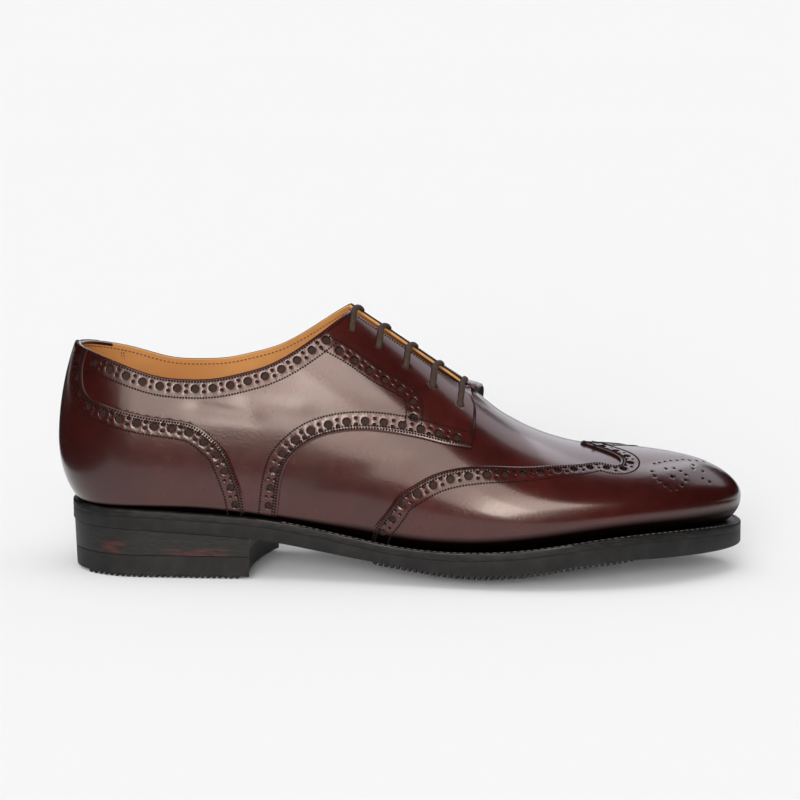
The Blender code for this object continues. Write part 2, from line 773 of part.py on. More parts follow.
def sole_loop(side, inset, last=None, count=44):
    """Outline of the sole on one side, from the back to the toe tip or to a last x."""
    toe_round = SOLE_TOE_ROUND if last is None else 0.0
    length = (SOLE_TIP_X if last is None else last) - SOLE_REAR_X
    heel_arc, toe_arc = SOLE_HEEL_ROUND * math.pi / 2.0, toe_round * math.pi / 2.0
    straight = length - SOLE_HEEL_ROUND - toe_round
    run = np.linspace(0.0, heel_arc + straight + toe_arc, count)
    x = SOLE_REAR_X + SOLE_HEEL_ROUND * (1.0 - np.cos(np.clip(run / heel_arc, 0.0, 1.0) * math.pi / 2.0))
    x = x + np.clip(run - heel_arc, 0.0, straight)
    if toe_arc:
        left = np.clip((run[-1] - run) / toe_arc, 0.0, 1.0)
        x = x + toe_round * np.cos(left * math.pi / 2.0)
    ends = end_round(x - SOLE_REAR_X, SOLE_HEEL_ROUND) * end_round(SOLE_TIP_X - x, SOLE_TOE_ROUND)
    name = "lateral" if side < 0.0 else "medial"
    y = LAST["axis"](x) + side * ends * SOLE[name](x)
    return plan_loop(np.stack([x, y], axis=1), inset)


def foot_loop(side, inset, count=44):
    """Plan of the upper's foot on one side, moved in by an inset."""
    runs = np.linspace(0.0, RUN_END, count)
    return plan_loop(last_point(runs, 0.0, side)[:, :2], inset)


def leaf(lateral, medial, across, height, hollow=0.0):
    """Grid of points across two outlines.

    Args:
        lateral, medial: matching plan outlines from the back forward.
        across: number of steps from side to side.
        height: function of x and y giving z.
        hollow: how far the front edge is hollowed towards the back.

    Returns:
        Array of rows of points.
    """
    v = np.linspace(-1.0, 1.0, across + 1)
    rows = []
    for i, (a, b) in enumerate(zip(lateral, medial)):
        share = i / (len(lateral) - 1)
        plan = a + (b - a) * ((v + 1.0) / 2.0)[:, None]
        x = plan[:, 0] - hollow * share**2 * (1.0 - v**2)
        rows.append(np.stack([x, plan[:, 1], height(x, plan[:, 1])], axis=1))
    return np.array(rows)


def block(name, levels):
    """Solid from a stack of leaves of equal size: caps at the first and last, walls between.

    Args:
        name: object name.
        levels: leaves from the bottom up; those between give only their borders.

    Returns:
        The object.
    """
    rows, columns = levels[0].shape[:2]
    rim = [(i, 0) for i in range(rows)] + [(rows - 1, j) for j in range(1, columns)]
    rim += [(i, columns - 1) for i in range(rows - 2, -1, -1)] + [(0, j) for j in range(columns - 2, 0, -1)]
    vertices, faces = [], []

    def cap(leaf_points, upward):
        base = len(vertices)
        vertices.extend(leaf_points.reshape(-1, 3))
        for i in range(rows - 1):
            for j in range(columns - 1):
                a = base + i * columns + j
                quad = [a, a + columns, a + columns + 1, a + 1]
                quad = quad if upward else quad[::-1]
                faces.append([quad[0], quad[1], quad[2]])
                faces.append([quad[0], quad[2], quad[3]])

    cap(levels[0], False)
    cap(levels[-1], True)
    for low, high in zip(levels, levels[1:]):
        base = len(vertices)
        size = len(rim)
        vertices.extend(low[i, j] for i, j in rim)
        vertices.extend(high[i, j] for i, j in rim)
        for k in range(size):
            n = (k + 1) % size
            faces.append([base + k, base + n, base + size + n])
            faces.append([base + k, base + size + n, base + size + k])
    kept, joined = welded(vertices, faces)
    return mesh_object(name, kept, joined)


def sole_bottom(x, y):
    """Height of the outsole's lower face: arched waist, cambered tread with a flat spot."""
    step_in = 1.0 / (1.0 + np.exp(-(x - TREAD_FROM_X) / TREAD_RUN_IN))
    step_out = 1.0 / (1.0 + np.exp((x - TREAD_TO_X) / TREAD_RUN_OUT))
    tread = SOLE["edge"](x) - TREAD_STEP * step_in * step_out
    return np.maximum(tread - SOLE["camber"](x) * (1.0 - across_square(x, y)), 0.0)


def welt_bottom(x, y):
    """Height of the welt's lower face."""
    return seat(x, y) - WELT_THICK


def outsole_top(x, y):
    """Height of the outsole's upper face."""
    return welt_bottom(x, y) - GAP


def make_welt():
    """Welt: a ring round the whole shoe that the upper stands on."""
    vertices, faces = [], []
    lateral, medial = [sole_loop(side, 0.0, count=38) for side in SIDES.values()]
    foot = [foot_loop(side, WELT_LIP, 38) for side in SIDES.values()]
    outer = np.vstack([lateral, medial[-2:0:-1]])
    inner = np.vstack([foot[0], foot[1][-2:0:-1]])
    rounds = [
        np.column_stack([outer, welt_bottom(*outer.T)]),
        np.column_stack([outer, seat(*outer.T)]),
        np.column_stack([inner, seat(*inner.T)]),
        np.column_stack([inner, welt_bottom(*inner.T)]),
    ]
    count = len(outer)
    for ring in rounds:
        vertices.extend(ring)
    for level in range(4):
        low, high = level * count, (level + 1) % 4 * count
        for k in range(count):
            n = (k + 1) % count
            faces.append([low + k, low + n, high + n])
            faces.append([low + k, high + n, high + k])
    return mesh_object("welt", vertices, faces)


def make_outsole():
    """Outsole: arched at the waist, sprung at the toe, flat where it meets the floor."""
    lateral, medial = [sole_loop(side, OUTSOLE_INSET, count=40) for side in SIDES.values()]
    bottom = leaf(lateral, medial, 6, sole_bottom)
    top = leaf(lateral, medial, 6, outsole_top)
    return block("outsole", [bottom, top])


def make_insole():
    """Insole: lies on the outsole inside the welt, its rim over the welt's lip."""
    low = [foot_loop(side, WELT_LIP + 2.0 * GAP, 24) for side in SIDES.values()]
    high = [foot_loop(side, UPPER_WALL + INSOLE_CLEAR, 24) for side in SIDES.values()]
    levels = [
        leaf(*low, 4, welt_bottom),
        leaf(*low, 4, lambda x, y: seat(x, y) + GAP),
        leaf(*high, 4, lambda x, y: seat(x, y) + GAP),
        leaf(*high, 4, lambda x, y: seat(x, y) + GAP + INSOLE_THICK),
    ]
    return block("insole", levels)


def heel_leaf(z, inset, height=None):
    """Leaf of the heel at one level: the sole's outline back of a hollowed breast."""
    loops = []
    for side, breast in ((LATERAL, BREAST_LATERAL_X), (MEDIAL, BREAST_MEDIAL_X)):
        loops.append(sole_loop(side, inset, last=breast, count=18))
    level = height if height else (lambda x, y: np.full(x.shape, z))
    return leaf(loops[0], loops[1], 6, level, BREAST_HOLLOW)


def heel_inset(z):
    """Inset of the heel's wall, which draws in towards the floor."""
    share = np.clip(z / HEEL_HEIGHT, 0.0, 1.0)
    return HEEL_INSET_FLOOR + (HEEL_INSET_TOP - HEEL_INSET_FLOOR) * share


def make_heel_stack():
    """Heel stack between the outsole and the top piece."""
    low = HEEL_SPLIT_Z + GAP
    top = heel_leaf(0.0, HEEL_INSET_TOP, lambda x, y: sole_bottom(x, y) - GAP)
    return block("heel_stack", [heel_leaf(low, heel_inset(low)), top])


def make_heel_top_piece():
    """Rubber top piece that stands on the floor."""
    levels = [
        heel_leaf(0.0, HEEL_INSET_FLOOR + FLOOR_BEVEL),
        heel_leaf(FLOOR_BEVEL, heel_inset(FLOOR_BEVEL)),
        heel_leaf(HEEL_SPLIT_Z, heel_inset(HEEL_SPLIT_Z)),
    ]
    return block("heel_top_piece", levels)


def make_lace_bar(number, x, z):
    """One bar of the lace, from eyelet to eyelet over the facings and the throat."""
    height = OVERLAY_GAP + OVERLAY + LACE_CLEAR + LACE_RADIUS
    half = []
    for side in (LATERAL, MEDIAL):
        run, share = locate(x, z, side)
        shares = np.linspace(share, mouth_share(run, side) - 0.005, 4)
        half.append([skin(run, s, side, height) for s in shares])
    path = half[0] + half[1][::-1]
    data = bpy.data.curves.new("lace_bar_%d" % number, "CURVE")
    data.dimensions = "3D"
    data.bevel_depth = LACE_RADIUS * MM
    data.bevel_resolution = 1
    data.use_fill_caps = True
    line = data.splines.new("POLY")
    line.points.add(len(path) - 1)
    for point, place in zip(line.points, path):
        point.co = (place[0] * MM, place[1] * MM, place[2] * MM, 1.0)
    return bpy.data.objects.new("lace_bar_%d" % number, data)


def main():
    """Builds every piece of the shoe into its collection."""
    for shape in list(bpy.data.objects):
        bpy.data.objects.remove(shape)
    collection = bpy.data.collections.new(COLLECTION)
    bpy.context.scene.collection.children.link(collection)
    eyelets = named_rows(EYELETS, SEAM_COLUMNS)
    bars = [make_lace_bar(number, row["x"], row["z"]) for number, row in enumerate(eyelets, start=1)]
    covers = [make_wing_cap(), make_quarter("lateral"), make_quarter("medial"), make_counter()]
    finished = {
        "upper_leather": [make_upper(), *covers, make_tongue()],
        "lining_leather": [make_insole()],
        "welt_leather": [make_welt()],
        "sole_rubber": [make_outsole(), make_heel_top_piece()],
        "heel_leather": [make_heel_stack()],
        "lace_cord": bars,
    }
    for finish, shapes in finished.items():
        for shape in shapes:
            shape.data.materials.append(material(finish))
            collection.objects.link(shape)


main()
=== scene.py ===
"""Full brogue derby, one right shoe: its looks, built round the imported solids.

The scene is in metres. The shoe's own sizes, tables and places are in millimetres, with the toe
towards +X, the outer side towards -Y and the floor at z = 0.
"""

import json
import logging
import math
from dataclasses import dataclass, field
from enum import Enum
from typing import Any, Callable, Sequence

import bpy
import numpy as np
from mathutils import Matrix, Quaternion, Vector
from mathutils.geometry import delaunay_2d_cdt
from mathutils.kdtree import KDTree

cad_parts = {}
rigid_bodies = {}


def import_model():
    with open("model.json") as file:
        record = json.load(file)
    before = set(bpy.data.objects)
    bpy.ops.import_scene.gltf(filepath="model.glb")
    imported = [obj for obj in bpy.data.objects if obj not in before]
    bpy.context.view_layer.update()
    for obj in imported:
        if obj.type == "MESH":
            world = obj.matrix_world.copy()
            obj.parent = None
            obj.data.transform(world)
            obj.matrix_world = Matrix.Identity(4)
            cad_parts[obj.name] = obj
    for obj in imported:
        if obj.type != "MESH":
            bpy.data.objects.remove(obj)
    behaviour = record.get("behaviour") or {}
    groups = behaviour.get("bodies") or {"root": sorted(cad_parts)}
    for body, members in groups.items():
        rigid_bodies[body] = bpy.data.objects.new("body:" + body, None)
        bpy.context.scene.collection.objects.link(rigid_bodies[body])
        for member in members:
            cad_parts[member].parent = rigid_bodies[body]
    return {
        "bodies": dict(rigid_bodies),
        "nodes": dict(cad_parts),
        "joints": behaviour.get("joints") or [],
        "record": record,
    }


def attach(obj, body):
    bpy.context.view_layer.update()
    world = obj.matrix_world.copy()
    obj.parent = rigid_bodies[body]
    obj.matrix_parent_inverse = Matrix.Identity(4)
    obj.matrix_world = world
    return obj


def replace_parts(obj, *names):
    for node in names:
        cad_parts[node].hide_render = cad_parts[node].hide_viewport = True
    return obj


LOG = logging.getLogger("derby")
BODY = "root"
MM = 0.001
TINY = 1e-9
QUARTER_TURN = math.pi / 2.0
FULL_TURN = 2.0 * math.pi
Array = np.ndarray
Pair = tuple[float, float]
Color = tuple[float, float, float]


class Side(Enum):
    """Outer and inner side of the shoe, as signs of Y."""

    LATERAL = -1.0
    MEDIAL = 1.0


# Sections of the last from heel to toe.
SECTION_COLUMNS = ("x", "axis", "lateral", "medial", "seat", "ridge", "belly", "tuck", "full")
SECTIONS = (
    (-155.0, 0.0, 31.0, 31.0, 31.2, 135.0, 0.26, 2.5, 1.8),
    (-120.0, 0.0, 32.0, 32.0, 31.0, 137.0, 0.25, 2.5, 1.8),
    (-90.0, 0.0, 33.0, 32.0, 29.6, 139.0, 0.23, 2.5, 1.8),
    (-60.0, 0.5, 34.5, 31.0, 27.4, 138.0, 0.21, 2.5, 1.9),
    (-30.0, 1.5, 38.5, 31.5, 22.4, 123.0, 0.21, 3.0, 1.9),
    (0.0, 3.0, 45.5, 35.0, 17.3, 102.0, 0.22, 4.0, 1.9),
    (30.0, 4.5, 53.0, 41.0, 16.1, 80.2, 0.24, 5.0, 1.95),
    (60.0, 5.5, 56.0, 45.0, 18.3, 62.0, 0.27, 5.0, 2.0),
    (90.0, 6.5, 53.0, 43.0, 22.3, 54.3, 0.30, 5.0, 2.0),
    (120.0, 7.0, 44.5, 36.0, 24.2, 50.9, 0.36, 4.5, 2.0),
    (155.0, 6.5, 33.0, 27.0, 24.4, 44.4, 0.50, 4.0, 2.0),
)
SOLE_COLUMNS = ("x", "lateral", "medial", "edge", "camber", "dish")
SOLE_SECTIONS = (
    (-155.0, 32.5, 32.5, 22.2, 0.0, 0.0),
    (-120.0, 33.8, 33.6, 21.8, 0.0, 0.0),
    (-90.0, 34.8, 33.4, 20.2, 0.0, 0.0),
    (-60.0, 36.4, 31.4, 17.8, 0.0, 0.3),
    (-30.0, 40.6, 31.2, 13.0, 1.2, 0.8),
    (0.0, 47.6, 35.0, 8.8, 4.4, 1.5),
    (30.0, 55.2, 42.2, 5.9, 6.6, 2.5),
    (60.0, 58.8, 47.4, 7.9, 7.6, 3.0),
    (90.0, 56.0, 45.8, 12.1, 6.0, 3.0),
    (120.0, 47.4, 39.0, 12.9, 3.2, 2.8),
    (155.0, 36.0, 29.6, 13.2, 1.2, 2.8),
)

# Collar heights of both sides, and seams as the side view shows them on either side.
TOPLINE_COLUMNS = ("x", "outer", "inner")
TOPLINE = (
    (-155.0, 104.2, 104.2), (-140.0, 101.2, 99.7), (-125.0, 96.5, 95.7), (-107.0, 90.9, 90.9),
    (-94.0, 89.8, 90.4), (-82.0, 90.3, 91.1), (-70.0, 92.8, 93.7), (-58.0, 96.4, 97.4),
    (-43.0, 104.6, 105.8), (-30.0, 113.4, 114.8), (-15.0, 123.0, 124.4),
)
COUNTER_SEAM = (
    (-139.0, 101.5), (-141.0, 95.0), (-141.4, 89.5), (-140.6, 84.5), (-138.0, 81.0), (-134.0, 79.2),
    (-127.0, 77.0), (-112.0, 73.5), (-100.0, 72.0), (-91.0, 70.0), (-84.0, 65.5), (-78.2, 60.0),
    (-74.2, 53.0), (-71.5, 46.0), (-69.5, 40.0), (-67.8, 30.0),
)
QUARTER_SEAM = (
    (-54.0, 29.0), (-53.3, 35.0), (-52.3, 43.0), (-50.6, 50.0), (-46.4, 56.8), (-40.4, 62.0),
    (-32.8, 65.6), (-24.0, 67.6), (-13.5, 68.2), (2.5, 66.6), (13.0, 64.6), (23.0, 62.2), (33.0, 60.4),
)
FACING_FRONT = ((33.5, 64.0), (33.9, 69.7), (33.7, 74.0), (31.8, 77.6))
INNER_FACING_FRONT = ((34.0, 63.0), (34.8, 68.6), (35.2, 73.0), (33.6, 76.8))
FACING_BAND = (
    (-33.4, 105.5), (-21.6, 99.0), (-8.2, 90.2), (2.1, 84.4), (5.8, 81.2), (7.0, 77.4), (6.9, 71.0),
)
WING_SEAM = (
    (-12.0, 19.5), (-9.6, 26.3), (-5.6, 31.5), (-0.5, 39.0), (6.5, 44.6), (13.5, 48.8), (20.0, 51.4),
    (30.0, 53.2), (40.0, 53.4), (50.0, 52.6), (60.0, 51.9), (70.0, 51.6), (83.0, 51.2), (91.0, 50.9),
)
WING_PEAK = ((97.2, 0.74), (99.4, 0.80), (97.0, 0.86), (91.0, 0.92), (81.3, 1.0))
EYELETS = ((-22.0, 110.0), (-10.0, 102.4), (2.3, 93.6), (14.3, 85.0), (26.6, 76.7))
INNER_EYELETS = ((-19.6, 108.4), (-7.4, 100.7), (4.9, 91.9), (16.7, 83.4), (27.6, 76.0))
EYELET_ROWS = {Side.LATERAL: EYELETS, Side.MEDIAL: INNER_EYELETS}

# Punched ornament on the toe, in plan, outer half; the inner half mirrors it across the axis.
MEDALLION = (
    (113.0, -21.7), (114.1, -25.0), (116.2, -27.2), (118.7, -28.6), (121.1, -29.2), (123.7, -27.5),
    (126.2, -24.3), (127.8, -20.4), (128.1, -16.5), (125.9, -14.9), (123.1, -14.0), (119.4, -16.4),
    (114.3, -13.7), (116.6, -11.6), (119.1, -8.9), (121.8, -6.5), (124.7, -4.3), (127.4, -1.6),
    (130.5, -0.1), (133.8, 2.2), (136.9, 4.7), (132.0, -4.8), (131.7, -8.7), (136.1, -7.4),
    (135.7, -13.6), (138.7, -13.2),
)
MEDALLION_HEART = (121.9, -21.6)

# Soft ripples of the quarters: ends of each trough in the side view, its depth and its half width.
RIPPLES = (
    (-88.0, 77.5, -66.0, 74.6, 0.22, 3.4),
    (-66.0, 80.5, -44.0, 77.6, 0.18, 3.2),
    (-30.0, 47.0, 2.0, 54.5, 0.20, 5.0),
)


class Spline:
    """Smooth curve through values at rising knots, held at its ends."""

    def __init__(self, knots: Sequence[float], values: Sequence[float]) -> None:
        """Solves the natural cubic.

        Args:
            knots: rising positions.
            values: value at each position.
        """
        self.knots = np.asarray(knots, float)
        self.values = np.asarray(values, float)
        self.step = np.diff(self.knots)
        rise = np.diff(self.values) / self.step
        count = len(self.knots)
        system = np.eye(count)
        target = np.zeros(count)
        for i in range(1, count - 1):
            before, after = self.step[i - 1], self.step[i]
            system[i, i - 1 : i + 2] = (before, 2.0 * (before + after), after)
            target[i] = 6.0 * (rise[i] - rise[i - 1])
        self.bend = np.linalg.solve(system, target)

    def __call__(self, position: Any) -> Array:
        """Value at a position or an array of them.

        Args:
            position: where to read the curve.

        Returns:
            Values in the same shape.
        """
        at = np.clip(position, self.knots[0], self.knots[-1])
        i = np.clip(np.searchsorted(self.knots, at, side="right") - 1, 0, len(self.knots) - 2)
        left, right, step = at - self.knots[i], self.knots[i + 1] - at, self.step[i]
        value = (self.bend[i] * right**3 + self.bend[i + 1] * left**3) / (6.0 * step)
        value = value + (self.values[i] / step - self.bend[i] * step / 6.0) * right
        return value + (self.values[i + 1] / step - self.bend[i + 1] * step / 6.0) * left


def table_curves(table: Sequence[Sequence[float]], columns: Sequence[str]) -> dict[str, Spline]:
    """A smooth curve over x for every other column of a table."""
    named = dict(zip(columns, np.asarray(table, float).T))
    return {name: Spline(named["x"], named[name]) for name in columns if name != "x"}


def unit(vectors: Array) -> Array:
    """Vectors at length one."""
    return vectors / np.maximum(np.linalg.norm(vectors, axis=-1, keepdims=True), TINY)


def travelled(points: Array) -> Array:
    """Distance along a row of points, from 0 at the first."""
    return np.concatenate([[0.0], np.cumsum(np.linalg.norm(np.diff(points, axis=0), axis=1))])


def soft_step(value: Any, low: float, high: float) -> Array:
    """Rises smoothly from 0 at low to 1 at high."""
    share = np.clip((np.asarray(value, float) - low) / (high - low), 0.0, 1.0)
    return share * share * (3.0 - 2.0 * share)


def stacked(run: Any, share: Any, side: Any) -> Array:
    """Places as rows of run, share and side."""
    return np.stack(np.broadcast_arrays(*(np.asarray(v, float) for v in (run, share, side))), axis=-1)


def rounded_run(run: Array, heel_round: float, straight: float, toe_round: float) -> Array:
    """Way forward of a run round an outline with a rounded heel and a rounded toe.

    Args:
        run: distances along the outline from its back.
        heel_round: length of the rounded heel.
        straight: length between the rounded ends.
        toe_round: length of the rounded toe, 0 for none.

    Returns:
        Distances forward from the back.
    """
    heel_arc, toe_arc = heel_round * QUARTER_TURN, toe_round * QUARTER_TURN
    heel = np.clip(run / heel_arc, 0.0, 1.0) * QUARTER_TURN
    toe = np.clip((heel_arc + straight + toe_arc - run) / max(toe_arc, TINY), 0.0, 1.0) * QUARTER_TURN
    middle = np.clip(run - heel_arc, 0.0, straight)
    return middle + heel_round * (1.0 - np.cos(heel)) + toe_round * np.cos(toe)


@dataclass
class Last:
    """The shoe's last and seat as functions of place.

    A place is a row of run (distance round the last from the back seam to the toe tip), share (way up
    the section from the welt, 0, to the ridge, 1) and side (a value of Side).
    """

    rear_x: float = -154.6
    tip_x: float = 153.0
    heel_round: float = 36.0
    toe_round: float = 56.0
    plan_power: float = 2.15
    heel_tuck: float = 9.6
    heel_lean: float = 36.0
    heel_fade: float = 52.0
    toe_tuck: float = 8.5
    toe_reach: float = 26.5
    toe_fade: float = 66.0
    belly_share: float = 0.28
    foot_angle: float = math.radians(65.0)
    gap: float = 0.3
    throat_top_x: float = -45.0
    throat_end_x: float = 29.0
    throat_round: float = 14.0
    throat_half_gap: float = 7.0
    instep_roll: float = 2.4
    roll_across: Pair = (-9.0, 8.0)
    roll_rear: Pair = (-52.0, -36.0)
    roll_front: Pair = (28.0, 46.0)
    hem_lift: float = 1.75
    hem_clear: float = 0.2
    hem_top: float = 0.25
    probe_run: float = 0.4
    probe_share: float = 0.006
    end_run: float = 0.3
    steady_shares: Pair = (0.02, 0.985)
    seam_run: float = 0.6
    seam_share: float = 0.02
    plan_share: float = 0.45
    form: dict[str, Spline] = field(init=False)
    sole: dict[str, Spline] = field(init=False)

    def __post_init__(self) -> None:
        """Works out the curves and the lines of mouth and hem."""
        self.form = table_curves(SECTIONS, SECTION_COLUMNS)
        self.sole = table_curves(SOLE_SECTIONS, SOLE_COLUMNS)
        heights = table_curves(TOPLINE, TOPLINE_COLUMNS)
        self.collar = {Side.LATERAL.value: heights["outer"], Side.MEDIAL.value: heights["inner"]}
        self.straight = self.tip_x - self.toe_round - self.rear_x - self.heel_round
        self.run_end = (self.heel_round + self.toe_round) * QUARTER_TURN + self.straight
        self.runs = np.linspace(0.0, self.run_end, 1441)
        self.mouths = {side.value: self._mouth_line(side.value) for side in Side}
        self.hems = {side.value: self._hem_line(side.value) for side in Side}
        self.charts = {side.value: self._chart(side.value) for side in Side}

    def section_x(self, run: Array) -> Array:
        """Section position for a run."""
        return self.rear_x + rounded_run(run, self.heel_round, self.straight, self.toe_round)

    def end_round(self, depth: Array, length: float) -> Array:
        """Share of the full width at a depth from a rounded end."""
        share = np.clip(1.0 - depth / length, 0.0, 1.0)
        return (1.0 - share**self.plan_power) ** (1.0 / self.plan_power)

    def across_square(self, x: Array, y: Array) -> Array:
        """Square of the position across the sole.

        Args:
            x, y: points in plan.

        Returns:
            0 on the axis, 1 at either edge and outside.
        """
        offset = y - self.form["axis"](x)
        half = np.where(offset < 0.0, self.sole["lateral"](x), self.sole["medial"](x))
        return np.minimum((offset / half) ** 2, 1.0)

    def seat(self, x: Array, y: Array) -> Array:
        """Height of the welt's top, which dips towards the axis."""
        return self.form["seat"](x) - self.sole["dish"](x) * (1.0 - self.across_square(x, y))

    def point(self, places: Array) -> Array:
        """Points of the upper's outer skin.

        Args:
            places: rows of run, share and side.

        Returns:
            Points with a last axis of three.
        """
        run, share, side = np.moveaxis(np.asarray(places, float), -1, 0)
        at = self.section_x(run)
        width = np.where(side < 0.0, self.form["lateral"](at), self.form["medial"](at))
        ends = self.end_round(at - self.rear_x, self.heel_round)
        ends = ends * self.end_round(self.tip_x - at, self.toe_round)
        below = np.clip(1.0 - share / self.belly_share, 0.0, 1.0) * self.foot_angle
        above = np.clip((share - self.belly_share) / (1.0 - self.belly_share), 0.0, 1.0) * QUARTER_TURN
        turn_in = (1.0 - np.cos(below)) / (1.0 - math.cos(self.foot_angle))
        drop = np.sin(below) / math.sin(self.foot_angle)
        power = 2.0 / self.form["full"](at)
        across = np.clip(np.cos(above), 0.0, 1.0) ** power
        climb = np.clip(np.sin(above), 0.0, 1.0) ** power
        heel_shift = self.heel_tuck * turn_in + self.heel_lean * (1.0 - across)
        toe_shift = self.toe_tuck * turn_in + self.toe_reach * (1.0 - across)
        heel_share = np.clip(1.0 - (at - self.rear_x) / self.heel_fade, 0.0, 1.0) ** 2
        toe_share = np.clip(1.0 - (self.tip_x - at) / self.toe_fade, 0.0, 1.0) ** 2
        x = at + heel_share * heel_shift - toe_share * toe_shift
        y = self.form["axis"](x) + side * ends * (width * across - self.form["tuck"](at) * turn_in)
        foot = self.seat(x, y) + self.gap
        belly = self.form["belly"](at)
        rise = belly * (1.0 - drop) + (1.0 - belly) * climb
        z = foot + (self.form["ridge"](x) - foot) * rise
        inner = soft_step(y - self.form["axis"](x), *self.roll_across) * climb**4
        inner = inner * soft_step(x, *self.roll_rear) * (1.0 - soft_step(x, *self.roll_front))
        z = z + self.instep_roll * inner
        return np.stack([x, y - side * self.ripple(x, z), z], axis=-1)

    @staticmethod
    def ripple(x: Array, z: Array) -> Array:
        """Depth of the soft ripples.

        Args:
            x, z: points of the side view.

        Returns:
            Depths below the plain skin.
        """
        depth = np.zeros(np.shape(x))
        for x0, z0, x1, z1, deep, wide in RIPPLES:
            length = math.hypot(x1 - x0, z1 - z0)
            along = ((x - x0) * (x1 - x0) + (z - z0) * (z1 - z0)) / length
            off = ((z - z0) * (x1 - x0) - (x - x0) * (z1 - z0)) / length
            past = np.maximum(np.maximum(-along, along - length), 0.0)
            depth = depth + deep * np.exp(-((off / wide) ** 2) - (past / (2.0 * wide)) ** 2)
        return depth

    def normal(self, places: Array) -> Array:
        """Outward unit normals of the skin.

        Args:
            places: rows of run, share and side.

        Returns:
            Unit vectors.
        """
        run, share, side = np.moveaxis(np.asarray(places, float), -1, 0)
        first, final, step = self.end_run, self.run_end - self.end_run, self.probe_share
        near, far = np.maximum(run - self.probe_run, first), np.minimum(run + self.probe_run, final)
        middle, steady = np.clip(run, first, final), np.clip(share, *self.steady_shares)
        low = np.clip(share - step, 0.0, 1.0 - 3.0 * step)
        high = np.clip(share + step, 2.0 * step, 1.0 - step)
        along = self.point(stacked(far, steady, side)) - self.point(stacked(near, steady, side))
        up = self.point(stacked(middle, high, side)) - self.point(stacked(middle, low, side))
        normal = unit(-side[..., None] * np.cross(along, up))
        flat = unit(normal * np.array([1.0, 0.0, 1.0]))
        from_end = np.minimum(run, self.run_end - run) / self.seam_run
        keep = np.clip(np.minimum(from_end, (1.0 - share) / self.seam_share), 0.0, 1.0)[..., None]
        return unit(keep * normal + (1.0 - keep) * flat)

    def skin(self, places: Array, lift: Any) -> Array:
        """Points at a height above the outer skin."""
        return self.point(places) + np.asarray(lift, float)[..., None] * self.normal(places)

    def _mouth_line(self, side: float) -> Array:
        """Where the upper ends: at the collar, the throat slot or the ridge.

        Args:
            side: value of Side.

        Returns:
            Its share at each run.
        """
        shares = np.linspace(self.belly_share, 1.0, 361)
        points = self.point(stacked(self.runs[:, None], shares[None, :], side))
        x, y, z = np.moveaxis(points, -1, 0)
        over = np.where(x < 0.0, z - self.collar[side](x), -1.0)
        depth = np.clip((self.throat_end_x - x) / self.throat_round, 0.0, 1.0)
        half = self.throat_half_gap * np.sqrt(1.0 - (1.0 - depth) ** 2)
        slot = np.where(x > self.throat_top_x, half - np.abs(y - self.form["axis"](x)), -1.0)
        height = np.maximum(over, slot)
        first = np.argmax(height > 0.0, axis=1)
        row = np.arange(len(self.runs))
        before, after = height[row, first - 1], height[row, first]
        part = np.clip(-before / np.maximum(after - before, TINY), 0.0, 1.0)
        step = shares[1] - shares[0]
        return np.where(first > 0, shares[first - 1] + part * step, 1.0)

    def _hem_line(self, side: float) -> Array:
        """Where a cover just stays above the welt.

        Args:
            side: value of Side.

        Returns:
            Its lowest share at each run.
        """
        shares = np.linspace(0.0, self.hem_top, 101)
        points = self.skin(stacked(self.runs[:, None], shares[None, :], side), np.array(self.hem_lift))
        clear = points[..., 2] - self.seat(points[..., 0], points[..., 1]) > self.hem_clear
        return shares[np.argmax(clear, axis=1)]

    def _chart(self, side: float) -> tuple[Array, Array]:
        """Coarse chart of one side.

        Args:
            side: value of Side.

        Returns:
            Places and their points.
        """
        runs, shares = np.linspace(0.0, self.run_end, 281), np.linspace(0.0, 1.0, 121)
        places = stacked(runs[:, None], shares[None, :], side).reshape(-1, 3)
        return places, self.point(places)

    def mouth(self, run: Any, side: float) -> Array:
        """Share of the mouth at a run."""
        return np.interp(run, self.runs, self.mouths[side])

    def hem(self, run: Any, side: float) -> Array:
        """Share of the covers' foot at a run."""
        return np.interp(run, self.runs, self.hems[side])

    def locate(self, axes: tuple[int, int], target: Sequence[float], side: float) -> Array:
        """Place on one side that two of the axes show at a target.

        Args:
            axes: the two axes that are read, as indices.
            target: wanted coordinates on them.
            side: value of Side.

        Returns:
            One place.
        """
        places, points = self.charts[side]
        seen_from_above = axes == (0, 1)
        hidden = seen_from_above & (places[:, 1] <= self.plan_share)
        error = np.sum((points[:, axes] - np.asarray(target)) ** 2, axis=1)
        place = places[np.argmin(np.where(hidden, np.inf, error))].copy()
        small_run, small_share = 0.01, 1e-4
        most_run, most_share = 3.0, 0.05
        for _ in range(12):
            here = self.point(place)
            d_run = (self.point(place + (small_run, 0.0, 0.0)) - here) / small_run
            d_share = (self.point(place + (0.0, small_share, 0.0)) - here) / small_share
            matrix = np.stack([d_run[list(axes)], d_share[list(axes)]], axis=1)
            if abs(np.linalg.det(matrix)) < 1e-3:
                break
            move = np.linalg.solve(matrix, np.asarray(target) - here[list(axes)])
            place[0] = np.clip(place[0] + np.clip(move[0], -most_run, most_run), 0.0, self.run_end)
            place[1] = np.clip(place[1] + np.clip(move[1], -most_share, most_share), 0.0, 0.999)
        return place

    def side_view(self, table: Sequence[Sequence[float]], side: float) -> Array:
        """Places of a side-view table on one side."""
        return np.array([self.locate((0, 2), row, side) for row in table])

